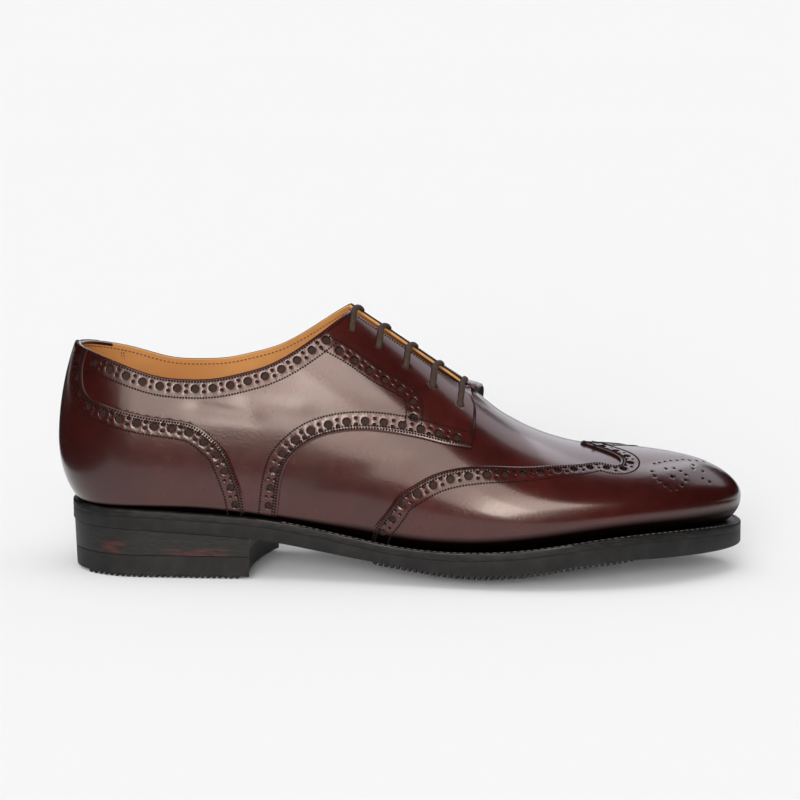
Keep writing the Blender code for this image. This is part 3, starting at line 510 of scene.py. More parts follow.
    def wrapped(self, places: Array) -> Array:
        """Places that ran over the back seam, the toe tip or the ridge, put on the side they reached.

        Args:
            places: rows of run, share and side.

        Returns:
            Rows within the skin.
        """
        run, share, side = np.moveaxis(places, -1, 0)
        past_end = (run < 0.0) | (run > self.run_end)
        run = np.abs(run)
        run = np.where(run > self.run_end, 2.0 * self.run_end - run, run)
        past_ridge = share > 1.0
        share = np.maximum(np.where(past_ridge, 2.0 - share, share), 0.0)
        return stacked(run, share, np.where(past_end ^ past_ridge, -side, side))

    def moved(self, places: Array, vectors: Array, steps: int = 3) -> Array:
        """Places moved over the skin.

        Args:
            places: rows of run, share and side.
            vectors: moves in millimetres, about tangent to the skin.
            steps: number of parts that each move is made in.

        Returns:
            The new places.
        """
        here = np.array(places, float)
        for _ in range(steps):
            base = self.point(here)
            run_step = np.where(here[..., 0] > self.run_end - 1.0, -0.2, 0.2)
            share_step = np.where(here[..., 1] > 0.5, -0.002, 0.002)
            zero = np.zeros_like(run_step)
            d_run = self.point(here + np.stack([run_step, zero, zero], -1)) - base
            d_share = self.point(here + np.stack([zero, share_step, zero], -1)) - base
            d_run, d_share = d_run / run_step[..., None], d_share / share_step[..., None]
            a, b, c = (np.sum(u * v, -1) for u, v in ((d_run, d_run), (d_run, d_share), (d_share, d_share)))
            p, q = np.sum(d_run * vectors, -1) / steps, np.sum(d_share * vectors, -1) / steps
            det = np.maximum(a * c - b * b, 1e-6)
            move = np.stack([(p * c - q * b) / det, (q * a - p * b) / det, zero], -1)
            here = self.wrapped(here + move)
        return here

    def circle(self, place: Array, radius: float, count: int) -> Array:
        """Circle on the skin, anticlockwise seen from outside.

        Args:
            place: its middle.
            radius: its radius.
            count: number of places on it.

        Returns:
            Rows of places.
        """
        normal = self.normal(place)
        first = unit(np.cross(normal, (0.3, 0.1, 1.0)))
        second = np.cross(normal, first)
        angle = np.linspace(0.0, FULL_TURN, count, endpoint=False)[:, None]
        offsets = radius * (np.cos(angle) * first + np.sin(angle) * second)
        return self.moved(np.repeat(place[None, :], count, axis=0), offsets, 1)

    def pattern(self, places: Array) -> Array:
        """Unrolled pattern: the ridge runs down its middle, the sides lie either way.

        Args:
            places: rows of run, share and side.

        Returns:
            Flat points with a last axis of two.
        """
        run, share, side = np.moveaxis(places, -1, 0)
        top, belly, foot = (self.point(stacked(run, s, side)) for s in (1.0, self.belly_share, 0.0))
        reach = belly[..., :2] - top[..., :2]
        length = np.maximum(np.linalg.norm(reach, axis=-1), 1e-6)
        girth = 0.75 * (length + top[..., 2] - foot[..., 2])
        return top[..., :2] + reach * ((1.0 - share) * girth / length)[..., None]

    def grid(self, spacing: float) -> Array:
        """Places spread about evenly over the whole skin.

        Args:
            spacing: distance between neighbours.

        Returns:
            Rows of places.
        """
        rows = []
        shares = np.linspace(0.0, 1.0, 49)
        for side in Side:
            for number, run in enumerate(np.arange(0.0, self.run_end, spacing)):
                if number == 0 and side is Side.MEDIAL:
                    continue
                lengths = travelled(self.point(stacked(run, shares, side.value)))
                count = max(3, int(lengths[-1] / spacing))
                wanted = (np.arange(count) + 0.5 * (number % 2)) / count * lengths[-1]
                rows.append(stacked(run, np.interp(wanted, lengths, shares), side.value))
        return np.concatenate(rows)


class Guide:
    """Smooth line over the skin on one side, with evenly spaced places."""

    def __init__(self, last: Last, places: Array, step: float = 0.6) -> None:
        """Draws the line.

        Args:
            last: the last.
            places: rows that the line passes through.
            step: distance between the places kept.
        """
        self.last, self.step = last, step
        self.side = float(places[0, 2])
        knots = travelled(last.point(places))
        run, share = Spline(knots, places[:, 0]), Spline(knots, places[:, 1])

        def drawn(where: Array) -> Array:
            """Places at distances along the given rows."""
            runs, shares = np.clip(run(where), 0.0, last.run_end), np.clip(share(where), 0.0, 1.0)
            return stacked(runs, shares, self.side)

        fine = np.linspace(0.0, knots[-1], max(40, int(knots[-1] * 4.0)))
        lengths = travelled(last.point(drawn(fine)))
        self.length = float(lengths[-1])
        count = max(2, int(round(self.length / step)) + 1)
        self.places = drawn(np.interp(np.linspace(0.0, self.length, count), lengths, fine))

    def at(self, distances: Array) -> Array:
        """Places at distances along the line.

        Args:
            distances: distances from its start.

        Returns:
            Rows of places.
        """
        own = np.linspace(0.0, self.length, len(self.places))
        run, share = (np.interp(distances, own, self.places[:, i]) for i in (0, 1))
        return stacked(run, share, self.side)

    def across(self) -> Array:
        """Directions over the skin to the left of the line, as its own side view shows it.

        Returns:
            A unit vector for each place.
        """
        points = self.last.point(self.places)
        along = unit(np.gradient(points, axis=0))
        return unit(-self.side * np.cross(self.last.normal(self.places), along))

    def offset(self, distance: float) -> "Guide":
        """Line at a distance to the left (or right, below 0)."""
        return Guide(self.last, self.last.moved(self.places, distance * self.across(), 4))

    def within(self) -> "Guide":
        """Cuts the line at hem and mouth.

        Returns:
            The part between them.
        """
        run, share = self.places[:, 0], self.places[:, 1]
        low, high = self.last.hem(run, self.side), self.last.mouth(run, self.side)
        keep = np.flatnonzero((share >= low) & (share <= high + 1e-6))
        return Guide(self.last, self.places[keep[0] : keep[-1] + 1])

    def cut(self, start: float, end: float) -> "Guide":
        """The line without a length at its start and at its end."""
        count = max(2, int((self.length - start - end) / self.step))
        return Guide(self.last, self.at(np.linspace(start, self.length - end, count)))


class Value:
    """A number socket of a recipe, with arithmetic that adds Math nodes."""

    def __init__(self, recipe: "Recipe", socket: bpy.types.NodeSocket) -> None:
        """Keeps the socket and the recipe that it belongs to."""
        self.recipe = recipe
        self.socket = socket

    def _join(self, operation: str, first: Any, second: Any) -> "Value":
        """One Math node on two operands."""
        return self.recipe.value("ShaderNodeMath", {"operation": operation}, {0: first, 1: second})

    def __add__(self, other: Any) -> "Value":
        """Sum."""
        return self._join("ADD", self, other)

    __radd__ = __add__

    def __mul__(self, other: Any) -> "Value":
        """Product."""
        return self._join("MULTIPLY", self, other)

    __rmul__ = __mul__

    def __sub__(self, other: Any) -> "Value":
        """Difference."""
        return self._join("SUBTRACT", self, other)

    def __rsub__(self, other: Any) -> "Value":
        """Difference from a number on the left."""
        return self._join("SUBTRACT", other, self)

    def sine(self) -> "Value":
        """Sine of the value."""
        return self._join("SINE", self, 0.0)

    def between(self, low: float, high: float) -> "Value":
        """Rises smoothly from 0 at low to 1 at high."""
        sockets = {"Value": self, "From Min": low, "From Max": high}
        return self.recipe.value("ShaderNodeMapRange", {"interpolation_type": "SMOOTHSTEP"}, sockets)


class Recipe:
    """Node tree of one material, read in the shoe's own frame."""

    def __init__(self, name: str) -> None:
        """Starts a material with a bare Principled shader.

        Args:
            name: its name.
        """
        self.material = bpy.data.materials.new(name)
        self.material.use_nodes = True
        self.tree = self.material.node_tree
        self.shader = self.tree.nodes["Principled BSDF"]
        self.where = self.node("ShaderNodeTexCoord").outputs["Object"]

    def node(self, kind: str, settings: dict | None = None, sockets: dict | None = None) -> bpy.types.Node:
        """Adds one node.

        Args:
            kind: the node's type.
            settings: its properties, set first.
            sockets: values or links of its inputs, by name or number.

        Returns:
            The node.
        """
        made = self.tree.nodes.new(kind)
        for key, value in (settings or {}).items():
            setattr(made, key, value)
        for key, value in (sockets or {}).items():
            self.feed(made.inputs[key], value)
        return made

    def feed(self, socket: bpy.types.NodeSocket, value: Any) -> None:
        """Links or sets an input.

        Args:
            socket: the input.
            value: a socket or a wrapped one to link, or a number, vector or colour to set.
        """
        if isinstance(value, Value):
            value = value.socket
        if isinstance(value, bpy.types.NodeSocket):
            self.tree.links.new(value, socket)
        elif isinstance(value, tuple) and socket.type == "RGBA" and len(value) == 3:
            socket.default_value = (*value, 1.0)
        else:
            socket.default_value = value

    def value(self, kind: str, settings: dict | None = None, sockets: dict | None = None) -> Value:
        """First output of a new node as a number."""
        return Value(self, self.node(kind, settings, sockets).outputs[0])

    def stretched(self, stretch: Color) -> bpy.types.NodeSocket:
        """Position with each axis scaled."""
        made = self.node("ShaderNodeVectorMath", {"operation": "MULTIPLY"}, {0: self.where, 1: stretch})
        return made.outputs[0]

    def axis(self, name: str) -> Value:
        """One coordinate of the position, in millimetres."""
        split = self.node("ShaderNodeSeparateXYZ", None, {"Vector": self.where})
        return Value(self, split.outputs[name]) * (1.0 / MM)

    def noise(self, size_mm: float, detail: float = 3.0, stretch: Color = (1.0, 1.0, 1.0)) -> Value:
        """Soft noise whose blobs have about the given size."""
        sockets = {"Vector": self.stretched(stretch), "Scale": 1.0 / (size_mm * MM), "Detail": detail}
        return self.value("ShaderNodeTexNoise", None, sockets)

    def cells(self, size_mm: float) -> Value:
        """Distance from the middle of pebble-like cells."""
        sockets = {"Vector": self.where, "Scale": 1.0 / (size_mm * MM)}
        return self.value("ShaderNodeTexVoronoi", None, sockets)

    def mix(self, factor: Any, first: Any, second: Any) -> bpy.types.NodeSocket:
        """Colour between two colours."""
        made = self.node("ShaderNodeMix", {"data_type": "RGBA"}, {"Factor": factor, 6: first, 7: second})
        return made.outputs[2]

    def bump(self, height: Value, depth_mm: float) -> bpy.types.NodeSocket:
        """Normal of a relief of the given depth."""
        sockets = {"Strength": 1.0, "Distance": depth_mm * MM, "Height": height}
        return self.node("ShaderNodeBump", None, sockets).outputs[0]

    def finish(self, **sockets: Any) -> bpy.types.Material:
        """Sets the shader's sockets.

        Args:
            sockets: values by the sockets' names, with underscores for spaces.

        Returns:
            The material.
        """
        for key, value in sockets.items():
            self.feed(self.shader.inputs[key.replace("_", " ")], value)
        return self.material


@dataclass(frozen=True)
class PolishedCalf:
    """Burgundy calf, waxed to a soft gloss, darker at heel and toe, with painted shade just above the welt.
    """

    name: str = "burgundy_calf"
    deep: Color = (0.029, 0.0035, 0.0028)
    bright: Color = (0.062, 0.0075, 0.0055)
    burnished: Color = (0.018, 0.0025, 0.0021)
    # Colour of the painted shade in the crease just above the welt.
    painted_welt_shade: Color = (0.0035, 0.0010, 0.0009)
    sheen: Color = (1.0, 0.93, 0.88)
    gloss: float = 0.20
    wax: float = 0.45
    wax_roughness: float = 0.13

    @staticmethod
    def painted_welt_shade_mask(made: Recipe) -> Value:
        """Mask of painted shade just above the welt, where the crease between upper and welt lies, broader
        at the forepart.

        Args:
            made: the material's recipe.

        Returns:
            1 in the painted shade and 0 a little higher.
        """
        along = made.axis("X")
        seat = 31.0 - along.between(-100.0, 20.0) * 14.9 + along.between(25.0, 115.0) * 8.3
        height = (made.axis("Z") - seat) * (2.9 - along.between(-100.0, -10.0) * 1.9)
        return 1.0 - height.between(3.8, 7.8)

    def material(self) -> bpy.types.Material:
        """Makes the material, with painted shade just above the welt: a black metal there, because that
        throws back no light.

        Returns:
            The material.
        """
        made = Recipe(self.name)
        cloud = made.noise(34.0, 3.0).between(0.30, 0.70)
        mottle = made.noise(5.0, 4.0).between(0.25, 0.80)
        along = made.axis("X")
        ends = along.between(92.0, 150.0) + (1.0 - along.between(-150.0, -104.0))
        color = made.mix(cloud * 0.55 + mottle * 0.35, self.deep, self.bright)
        color = made.mix(ends * 0.6, color, self.burnished)
        # Painted shade above the welt: black, rougher, metal and without wax coat, so it shows neither
        # colour nor gloss.
        foot = self.painted_welt_shade_mask(made)
        color = made.mix(foot, color, self.painted_welt_shade)
        grain = made.cells(1.2) * 0.6 + made.noise(0.7, 2.0) * 0.6
        pull = made.noise(16.0, 1.5, (0.55, 1.0, 1.6))
        roughness = self.gloss + made.noise(9.0, 3.0) * 0.07 + mottle * 0.03 + foot * 0.3
        relief = made.bump(grain * 0.030 + pull * 0.06, 1.0)
        return made.finish(
            Base_Color=color, Roughness=roughness, Metallic=foot, Normal=relief, Specular_Tint=self.sheen,
            Coat_Weight=(1.0 - foot) * self.wax, Coat_Roughness=self.wax_roughness,
        )


@dataclass(frozen=True)
class Fibrous:
    """Finish of two tones that follow fine fibres, with a low relief."""

    name: str
    dark: Color
    light: Color
    grain_mm: float = 0.3
    detail: float = 4.0
    stretch: Color = (1.0, 1.0, 1.0)
    tones: Pair = (0.3, 0.75)
    relief_mm: float = 0.05
    rough: Pair = (0.6, 0.15)
    specular: float = 0.2

    def material(self) -> bpy.types.Material:
        """Makes the material.

        Returns:
            The material.
        """
        made = Recipe(self.name)
        fibre = made.noise(self.grain_mm, self.detail, self.stretch)
        color = made.mix(fibre.between(*self.tones), self.dark, self.light)
        roughness = self.rough[0] + fibre * self.rough[1]
        relief = made.bump(fibre, self.relief_mm)
        return made.finish(
            Base_Color=color, Roughness=roughness, Normal=relief, Specular_IOR_Level=self.specular,
        )


@dataclass(frozen=True)
class Thread(Fibrous):
    """Sewing thread in one of its colours."""

    detail: float = 3.0
    tones: Pair = (0.3, 0.7)
    relief_mm: float = 0.04
    specular: float = 0.15


@dataclass(frozen=True)
class TanLining:
    """Matt tan lining leather with a fine nap, darker towards the bottom."""

    name: str = "tan_lining"
    light: Color = (0.74, 0.365, 0.112)
    dark: Color = (0.57, 0.250, 0.067)

    def material(self) -> bpy.types.Material:
        """Makes the material.

        Returns:
            The material.
        """
        made = Recipe(self.name)
        patch = made.noise(22.0, 4.0)
        pore = made.noise(0.6, 3.0)
        # Darker towards the bottom of the lining.
        darker_below = 1.0 - made.axis("Z").between(35.0, 95.0)
        color = made.mix(patch.between(0.3, 0.75) * 0.6 + darker_below * 0.4, self.light, self.dark)
        relief = made.bump(pore * 0.03 + made.cells(1.1) * 0.02, 1.0)
        return made.finish(Base_Color=color, Roughness=0.62 + pore * 0.1, Normal=relief)


@dataclass(frozen=True)
class BlackRubber:
    """Moulded black rubber, matt, with a dusty bloom."""

    name: str = "black_rubber"
    dark: Color = (0.0075, 0.0070, 0.0068)
    bloom: Color = (0.017, 0.0160, 0.0155)

    def material(self) -> bpy.types.Material:
        """Makes the material.

        Returns:
            The material.
        """
        made = Recipe(self.name)
        dust = made.noise(7.0, 5.0)
        pore = made.noise(0.35, 2.0)
        color = made.mix(dust.between(0.35, 0.8), self.dark, self.bloom)
        relief = made.bump(pore, 0.03)
        roughness = 0.5 + dust * 0.16
        return made.finish(Base_Color=color, Roughness=roughness, Normal=relief, Specular_IOR_Level=0.3)


@dataclass(frozen=True)
class BurnishedStack:
    """Black stacked heel leather whose wax has rubbed through to red-brown low on the outer side."""

    name: str = "burnished_heel_stack"
    dark: Color = (0.0075, 0.0066, 0.0063)
    light: Color = (0.018, 0.0160, 0.0152)
    rubbed: Color = (0.090, 0.016, 0.011)
    lift_mm: float = 4.1

    @staticmethod
    def patch(made: Recipe, along: tuple[float, ...], up: tuple[float, ...]) -> Value:
        """Mask of one rubbed place.

        Args:
            made: the material's recipe.
            along, up: where it starts, is full, begins to fade and ends, in x and in z.

        Returns:
            1 in the place and 0 round it.
        """
        mask: Any = 1.0
        for axis, (start, full, fading, end) in (("X", along), ("Z", up)):
            at = made.axis(axis)
            mask = mask * at.between(start, full) * (1.0 - at.between(fading, end))
        return mask

    def material(self) -> bpy.types.Material:
        """Makes the material.

        Returns:
            The material.
        """
        made = Recipe(self.name)
        lines = (made.axis("Z") * (FULL_TURN / self.lift_mm)).sine().between(0.9, 1.0)
        fibre = made.noise(1.4, 4.0, (0.3, 0.3, 1.8))
        rear = self.patch(made, (-136.0, -132.0, -125.0, -121.0), (9.8, 11.0, 14.0, 17.0))
        front = self.patch(made, (-108.0, -96.0, -80.0, -73.0), (9.5, 10.6, 12.4, 14.6))
        scratch = made.noise(4.0, 5.0, (0.45, 0.45, 2.2)).between(0.38, 0.62)
        color = made.mix(fibre.between(0.35, 0.85), self.dark, self.light)
        color = made.mix((rear + front) * scratch * 0.75, color, self.rubbed)
        relief = made.bump(fibre * 0.05 - lines * 0.02, 1.0)
        roughness = 0.4 + fibre * 0.18
        return made.finish(Base_Color=color, Roughness=roughness, Normal=relief, Specular_IOR_Level=0.35)


class Wardrobe:
    """All finishes of the shoe, each made once."""

    def __init__(self) -> None:
        """Makes every material."""
        self.calf = PolishedCalf().material()
        self.lining = TanLining().material()
        self.rubber = BlackRubber().material()
        self.stack = BurnishedStack().material()
        self.edge = Fibrous(
            "dyed_cut_edge", (0.010, 0.0045, 0.004), (0.035, 0.011, 0.008),
            grain_mm=0.5, tones=(0.45, 0.8), rough=(0.6, 0.1),
        ).material()
        # Floors of the punched holes: their dark brown is painted shade of the recess under each hole.
        self.hole = Fibrous(
            "hole_floor_painted_shade", (0.015, 0.0060, 0.0046), (0.050, 0.0230, 0.0170),
            grain_mm=0.7, relief_mm=0.08, rough=(0.5, 0.2),
        ).material()
        self.welt = Fibrous(
            "black_waxed_welt", (0.0060, 0.0055, 0.0052), (0.020, 0.0185, 0.0175),
            grain_mm=1.2, stretch=(0.25, 0.25, 1.6), tones=(0.35, 0.8), rough=(0.4, 0.2), specular=0.25,
        ).material()
        # Light grey line on the welt's top edge: a painted highlight of its bevel.
        self.welt_highlight = Fibrous(
            "welt_edge_painted_highlight", (0.045, 0.038, 0.036), (0.17, 0.140, 0.130), grain_mm=5.0,
            stretch=(0.5, 0.5, 1.0), tones=(0.35, 0.7), relief_mm=0.04, rough=(0.45, 0.15), specular=0.3,
        ).material()
        self.cord = Fibrous(
            "waxed_brown_cord", (0.026, 0.0150, 0.0105), (0.090, 0.0560, 0.0400),
            grain_mm=0.45, relief_mm=0.08, rough=(0.62, 0.15), specular=0.15,
        ).material()
        self.upper_thread = Thread(
            "dark_upper_thread", (0.004, 0.0025, 0.002), (0.014, 0.007, 0.006)
        ).material()
        self.lining_thread = Thread(
            "brown_lining_thread", (0.16, 0.055, 0.02), (0.30, 0.12, 0.05)
        ).material()
        self.welt_thread = Thread(
            "grey_welt_thread", (0.09, 0.083, 0.078), (0.22, 0.205, 0.195)
        ).material()


class Piece:
    """Gathers faces, their finishes and corner normals, and makes one object of them."""

    def __init__(self, name: str) -> None:
        """Starts an empty piece.

        Args:
            name: name of its object.
        """
        self.name = name
        self.points: list[Array] = []
        self.faces: list[list[int]] = []
        self.finishes: list[int] = []
        self.normals: list[Array] = []
        self.count = 0

    def add(
        self, points: Array, faces: Sequence[Sequence[int]], normals: Array | None = None, finish: int = 0,
    ) -> None:
        """Adds faces on new points.

        Args:
            points: points in millimetres.
            faces: corner numbers into them.
            normals: a unit vector for each point, or None to shade by the faces.
            finish: number of the finish.
        """
        base = self.count
        self.points.append(np.asarray(points, float).reshape(-1, 3))
        self.count += len(self.points[-1])
        for face in faces:
            self.faces.append([base + int(i) for i in face])
            self.finishes.append(finish)
            if normals is not None:
                self.normals.extend(normals[list(face)])

    def strip(
        self, first: Array, second: Array, normals: Array, finish: int = 0, closed: bool = False,
    ) -> None:
        """Adds a band of quads between two rows of points.

        Args:
            first, second: matching rows.
            normals: unit vector for each step of the rows.
            finish: number of the finish.
            closed: whether the rows are loops.
        """
        size = len(first)
        last = size if closed else size - 1
        faces = [(i, size + i, size + (i + 1) % size, (i + 1) % size) for i in range(last)]
        self.add(np.concatenate([first, second]), faces, np.concatenate([normals, normals]), finish)

    def make(
        self, materials: Sequence[bpy.types.Material], slot: str, sharp_deg: float = 38.0,
    ) -> bpy.types.Object:
        """Makes the object and sets it on the shoe's body.

        Args:
            materials: finishes in the order of their numbers.
            slot: the record's material slot; not used.
            sharp_deg: angle above which an edge shows as an edge, where faces set the shading.

        Returns:
            The object.
        """
        mesh = bpy.data.meshes.new(self.name)
        mesh.from_pydata((np.concatenate(self.points) * MM).tolist(), [], self.faces)
        for material in materials:
            mesh.materials.append(material)
        mesh.polygons.foreach_set("material_index", np.array(self.finishes, dtype=np.int32))
        mesh.shade_smooth()
        if self.normals:
            mesh.normals_split_custom_set([tuple(map(float, n)) for n in self.normals])
        else:
            mesh.set_sharp_from_angle(angle=math.radians(sharp_deg))
        shape = bpy.data.objects.new(self.name, mesh)
        bpy.context.scene.collection.objects.link(shape)
        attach(shape, BODY)
        LOG.info("%s: %d points, %d faces", self.name, len(mesh.vertices), len(mesh.polygons))
        return shape


def grid_faces(index: Array) -> list[tuple[int, ...]]:
    """Faces over a grid of point numbers, anticlockwise as its rows and columns run.

    Args:
        index: the grid, in which a number may stand twice where the surface closes to a point.

    Returns:
        Quads, then triangles where a quad has only three corners.
    """
    a, b, c, d = index[:-1, :-1], index[1:, :-1], index[1:, 1:], index[:-1, 1:]
    quads = np.stack([a, b, c, d], axis=-1).reshape(-1, 4)
    faces = [tuple(dict.fromkeys(quad)) for quad in quads]
    return [face for size in (4, 3) for face in faces if len(face) == size]


def tree_of(points: Array) -> KDTree:
    """Search tree.

    Args:
        points: rows of points.

    Returns:
        The tree over their numbers.
    """
    tree = KDTree(len(points))
    for number, point in enumerate(points):
        tree.insert(Vector(point), number)
    tree.balance()
    return tree


def polygon_holds(polygon: Array, points: Array) -> Array:
    """Which points lie inside a polygon.

    Args:
        polygon: its flat corners in order.
        points: flat points.

    Returns:
        True for each point inside.
    """
    hit = np.zeros(len(points), dtype=bool)
    for (ax, ay), (bx, by) in zip(polygon, np.roll(polygon, -1, axis=0)):
        if ay != by:
            crosses = (ay > points[:, 1]) != (by > points[:, 1])
            hit ^= crosses & (points[:, 0] < (bx - ax) * (points[:, 1] - ay) / (by - ay) + ax)
    return hit


@dataclass
class Punch:
    """One punched hole: its place and radius."""

    place: Array
    radius: float

    @property
    def corners(self) -> int:
        """Number of corners of its rim."""
        return 18 if self.radius > 1.2 else 10


@dataclass
class Cover:
    """Overlay of the upper: leather cut to an outline, with rounded edges and punched holes."""

    last: Last
    name: str
    outline: Array
    punches: list[Punch]
    top: float
    foot: float = 0.2
    spacing: float = 1.5
    edge_depth: float = 0.42
    edge_width: float = 1.2
    rim_depth: float = 0.12
    rim_width: float = 0.5
    hole_depth: float = 1.0
    curl: float = 0.0
    curl_reach: float = 7.0
    curl_place: Array | None = None
    least_step: float = 0.3
    edge_rows: Pair = (0.4, 0.85)
    search: float = 3.0

    def __post_init__(self) -> None:
        """Puts the outline in order and works out the search trees of edge and holes."""
        self.ring = self._ring()
        points = self.last.point(self.ring)
        along = unit(np.roll(points, -1, axis=0) - np.roll(points, 1, axis=0))
        self.inward = unit(np.cross(self.last.normal(self.ring), along))
        self.edge_tree = tree_of(points)
        self.hole_tree = tree_of(self.last.point(np.array([p.place for p in self.punches])))

    def _ring(self) -> Array:
        """Outline with close points dropped.

        Returns:
            Its places, anticlockwise seen from outside.
        """
        points = self.last.point(self.outline)
        kept = [0]
        for i in range(1, len(points)):
            if np.linalg.norm(points[i] - points[kept[-1]]) > self.least_step:
                kept.append(i)
        if np.linalg.norm(points[kept[-1]] - points[0]) < self.least_step:
            kept.pop()
        ring = self.outline[kept]
        x, y = self.last.pattern(ring).T
        area = np.sum(x * np.roll(y, -1) - np.roll(x, -1) * y)
        return ring if area > 0.0 else ring[::-1]

    def _relief(self, points: Array, rim: Array) -> tuple[Array, Array]:
        """How far each point lies below the top, and the tilt of its normal there.

        Args:
            points: skin points of the cover.
            rim: skin points of its outline.

        Returns:
            Depths and vectors to add to the normals.
        """
        fine = np.concatenate([rim + k / 4.0 * (np.roll(rim, -1, 0) - rim) for k in range(4)])
        edge_tree = tree_of(fine)
        depth = np.zeros(len(points))
        tilt = np.zeros((len(points), 3))
        for i, point in enumerate(points):
            near, number, distance = edge_tree.find(point)
            if distance < self.edge_width:
                share = 1.0 - distance / self.edge_width
                at_edge = distance < 0.05
                way = self.inward[number % len(rim)] if at_edge else (point - np.array(near)) / distance
                depth[i] = self.edge_depth * share**2
                tilt[i] = -2.0 * self.edge_depth / self.edge_width * share * way
            for near, number, distance in self.hole_tree.find_range(point, self.search):
                out = max(distance - self.punches[number].radius, 0.0)
                if out < self.rim_width:
                    share = 1.0 - out / self.rim_width
                    way = (point - np.array(near)) / max(distance, 1e-6)
                    depth[i] += self.rim_depth * share**2
                    tilt[i] -= 2.0 * self.rim_depth / self.rim_width * share * way
        if self.curl_place is not None:
            away = points - self.last.point(self.curl_place)
            rise = self.curl * np.exp(-np.sum(away**2, axis=1) / self.curl_reach**2)
            depth = depth - rise
            tilt = tilt + (2.0 * rise / self.curl_reach**2)[:, None] * away
        return depth, tilt

    def _kept(self, places: Array, from_edge: float, from_rim: float) -> Array:
        """Places that lie inside the outline and outside the holes.

        Args:
            places: rows to choose from.
            from_edge: least distance from the outline.
            from_rim: least distance from the holes' rims.

        Returns:
            The rows kept.
        """
        places = places[polygon_holds(self.last.pattern(self.ring), self.last.pattern(places))]
        kept = []
        for place, point in zip(places, self.last.point(places)):
            holes = self.hole_tree.find_range(point, self.search)
            if self.edge_tree.find(point)[2] >= from_edge and all(
                distance > self.punches[number].radius + from_rim for _, number, distance in holes
            ):
                kept.append(place)
        return np.array(kept).reshape(-1, 3)

    def _free_places(self) -> Array:
        """Places inside the outline: rows along the edge, rings round the holes and an even spread.

        Returns:
            Rows of places.
        """
        rows = [
            self._kept(self.last.moved(self.ring, self.inward * inset, 1), 0.85 * inset, 0.3)
            for inset in self.edge_rows
        ]
        for punch in self.punches:
            circle = self.last.circle(punch.place, punch.radius + 0.4, punch.corners)
            rows.append(self._kept(circle, 0.5, 0.3))
        rows.append(self._kept(self.last.grid(self.spacing), 1.5, 0.8))
        return np.concatenate(rows)

    @staticmethod
    def _triangles(flat: Array, loops: Sequence[Array]) -> Array:
        """Triangles of the leather.

        Args:
            flat: flat points of the pattern.
            loops: numbers of the outline's points, then of each rim's.

        Returns:
            Rows of three point numbers, inside the outline and outside the rims.
        """
        edges = [(int(a), int(b)) for loop in loops for a, b in zip(loop, np.roll(loop, -1))]
        result = delaunay_2d_cdt([Vector(p) for p in flat.tolist()], edges, [], 1, 1e-7)
        source = np.array([origin[0] if origin else -1 for origin in result[3]])
        triangles = source[np.array(result[2])]
        triangles = triangles[(triangles >= 0).all(axis=1)]
        hole_of = np.full(len(flat), -1)
        for number, loop in enumerate(loops[1:]):
            hole_of[loop] = number
        owners = hole_of[triangles]
        in_hole = (owners[:, 0] >= 0) & (owners == owners[:, :1]).all(axis=1)
        return triangles[polygon_holds(flat[loops[0]], flat[triangles].mean(axis=1)) & ~in_hole]

    def piece(self) -> Piece:
        """Builds the cover.

        Returns:
            The piece, with the leather as finish 0, the cut edges as 1 and the hole floors, in painted
            shade, as 2.
        """
        last = self.last
        rims = [last.circle(p.place, p.radius, p.corners) for p in self.punches]
        places = np.concatenate([self.ring, *rims, self._free_places()])
        ends = np.cumsum([0, len(self.ring), *map(len, rims)])
        edge, *holes = (np.arange(start, end) for start, end in zip(ends, ends[1:]))
        triangles = self._triangles(last.pattern(places), [edge, *holes])
        points, normals = last.point(places), last.normal(places)
        depth, tilt = self._relief(points, points[edge])
        top = points + (self.top - depth)[:, None] * normals
        bottom = points + self.foot * normals
        piece = Piece(self.name)
        piece.add(top, triangles, unit(normals + tilt))
        piece.strip(top[edge], bottom[edge], -self.inward, 1, closed=True)
        for punch, hole in zip(self.punches, holes):
            back = hole[::-1]
            inwards = unit(last.point(punch.place) - points[back])
            piece.strip(top[back], bottom[back], inwards, 1, closed=True)
            # Each hole gets a floor disc whose finish paints the shade of the recess.
            floor = points[hole] + (self.top - self.hole_depth) * normals[hole]
            piece.add(floor, [range(len(hole))], normals[hole], 2)
        return piece


@dataclass
class Stitching:
    """A row of stitches lying along a line."""

    pitch: float = 1.3
    long: float = 0.50
    wide: float = 0.47
    high: float = 0.34

    def add(self, piece: Piece, points: Array, along: Array, normals: Array) -> None:
        """Adds one stitch at each point.

        Args:
            piece: piece that takes them.
            points: their middles.
            along: unit vectors along them.
            normals: unit vectors out of the leather.
        """
        across = np.cross(normals, along)
        stations = ((-1.0, 0.35), (-0.6, 1.0), (0.6, 1.0), (1.0, 0.35))
        sides = 6
        angles = np.linspace(0.0, FULL_TURN, sides, endpoint=False)
        shape = np.array([
            (s * self.long, r * self.wide * math.cos(a), r * self.high * math.sin(a))
            for s, r in stations for a in angles
        ])
        frame = np.stack([along, across, normals], axis=1)
        cloud = points[:, None, :] + np.einsum("kc,nci->nki", shape, frame)
        index = np.arange(len(shape)).reshape(len(stations), sides)
        own: list[tuple[int, ...]] = [
            (low[k], low[(k + 1) % sides], high[(k + 1) % sides], high[k])
            for low, high in zip(index, index[1:]) for k in range(sides)
        ]
        own += [tuple(index[0][::-1]), tuple(index[-1])]
        size = len(shape)
        faces = [tuple(n * size + i for i in face) for n in range(len(points)) for face in own]
        piece.add(cloud.reshape(-1, 3), faces)

    def row(self, piece: Piece, guide: Guide, lift: float) -> None:
        """Adds a row along a guide.

        Args:
            piece: piece that takes it.
            guide: its line.
            lift: height over the skin; below 0 the row lies on the inside.
        """
        distances = np.arange(self.pitch / 2.0, guide.length, self.pitch)
        if len(distances) < 3:
            return
        places = guide.at(distances)
        points = guide.last.skin(places, np.full(len(places), lift))
        along = unit(np.gradient(points, axis=0))
        normals = guide.last.normal(places) * (1.0 if lift > 0.0 else -1.0)
        self.add(piece, points, along, normals)


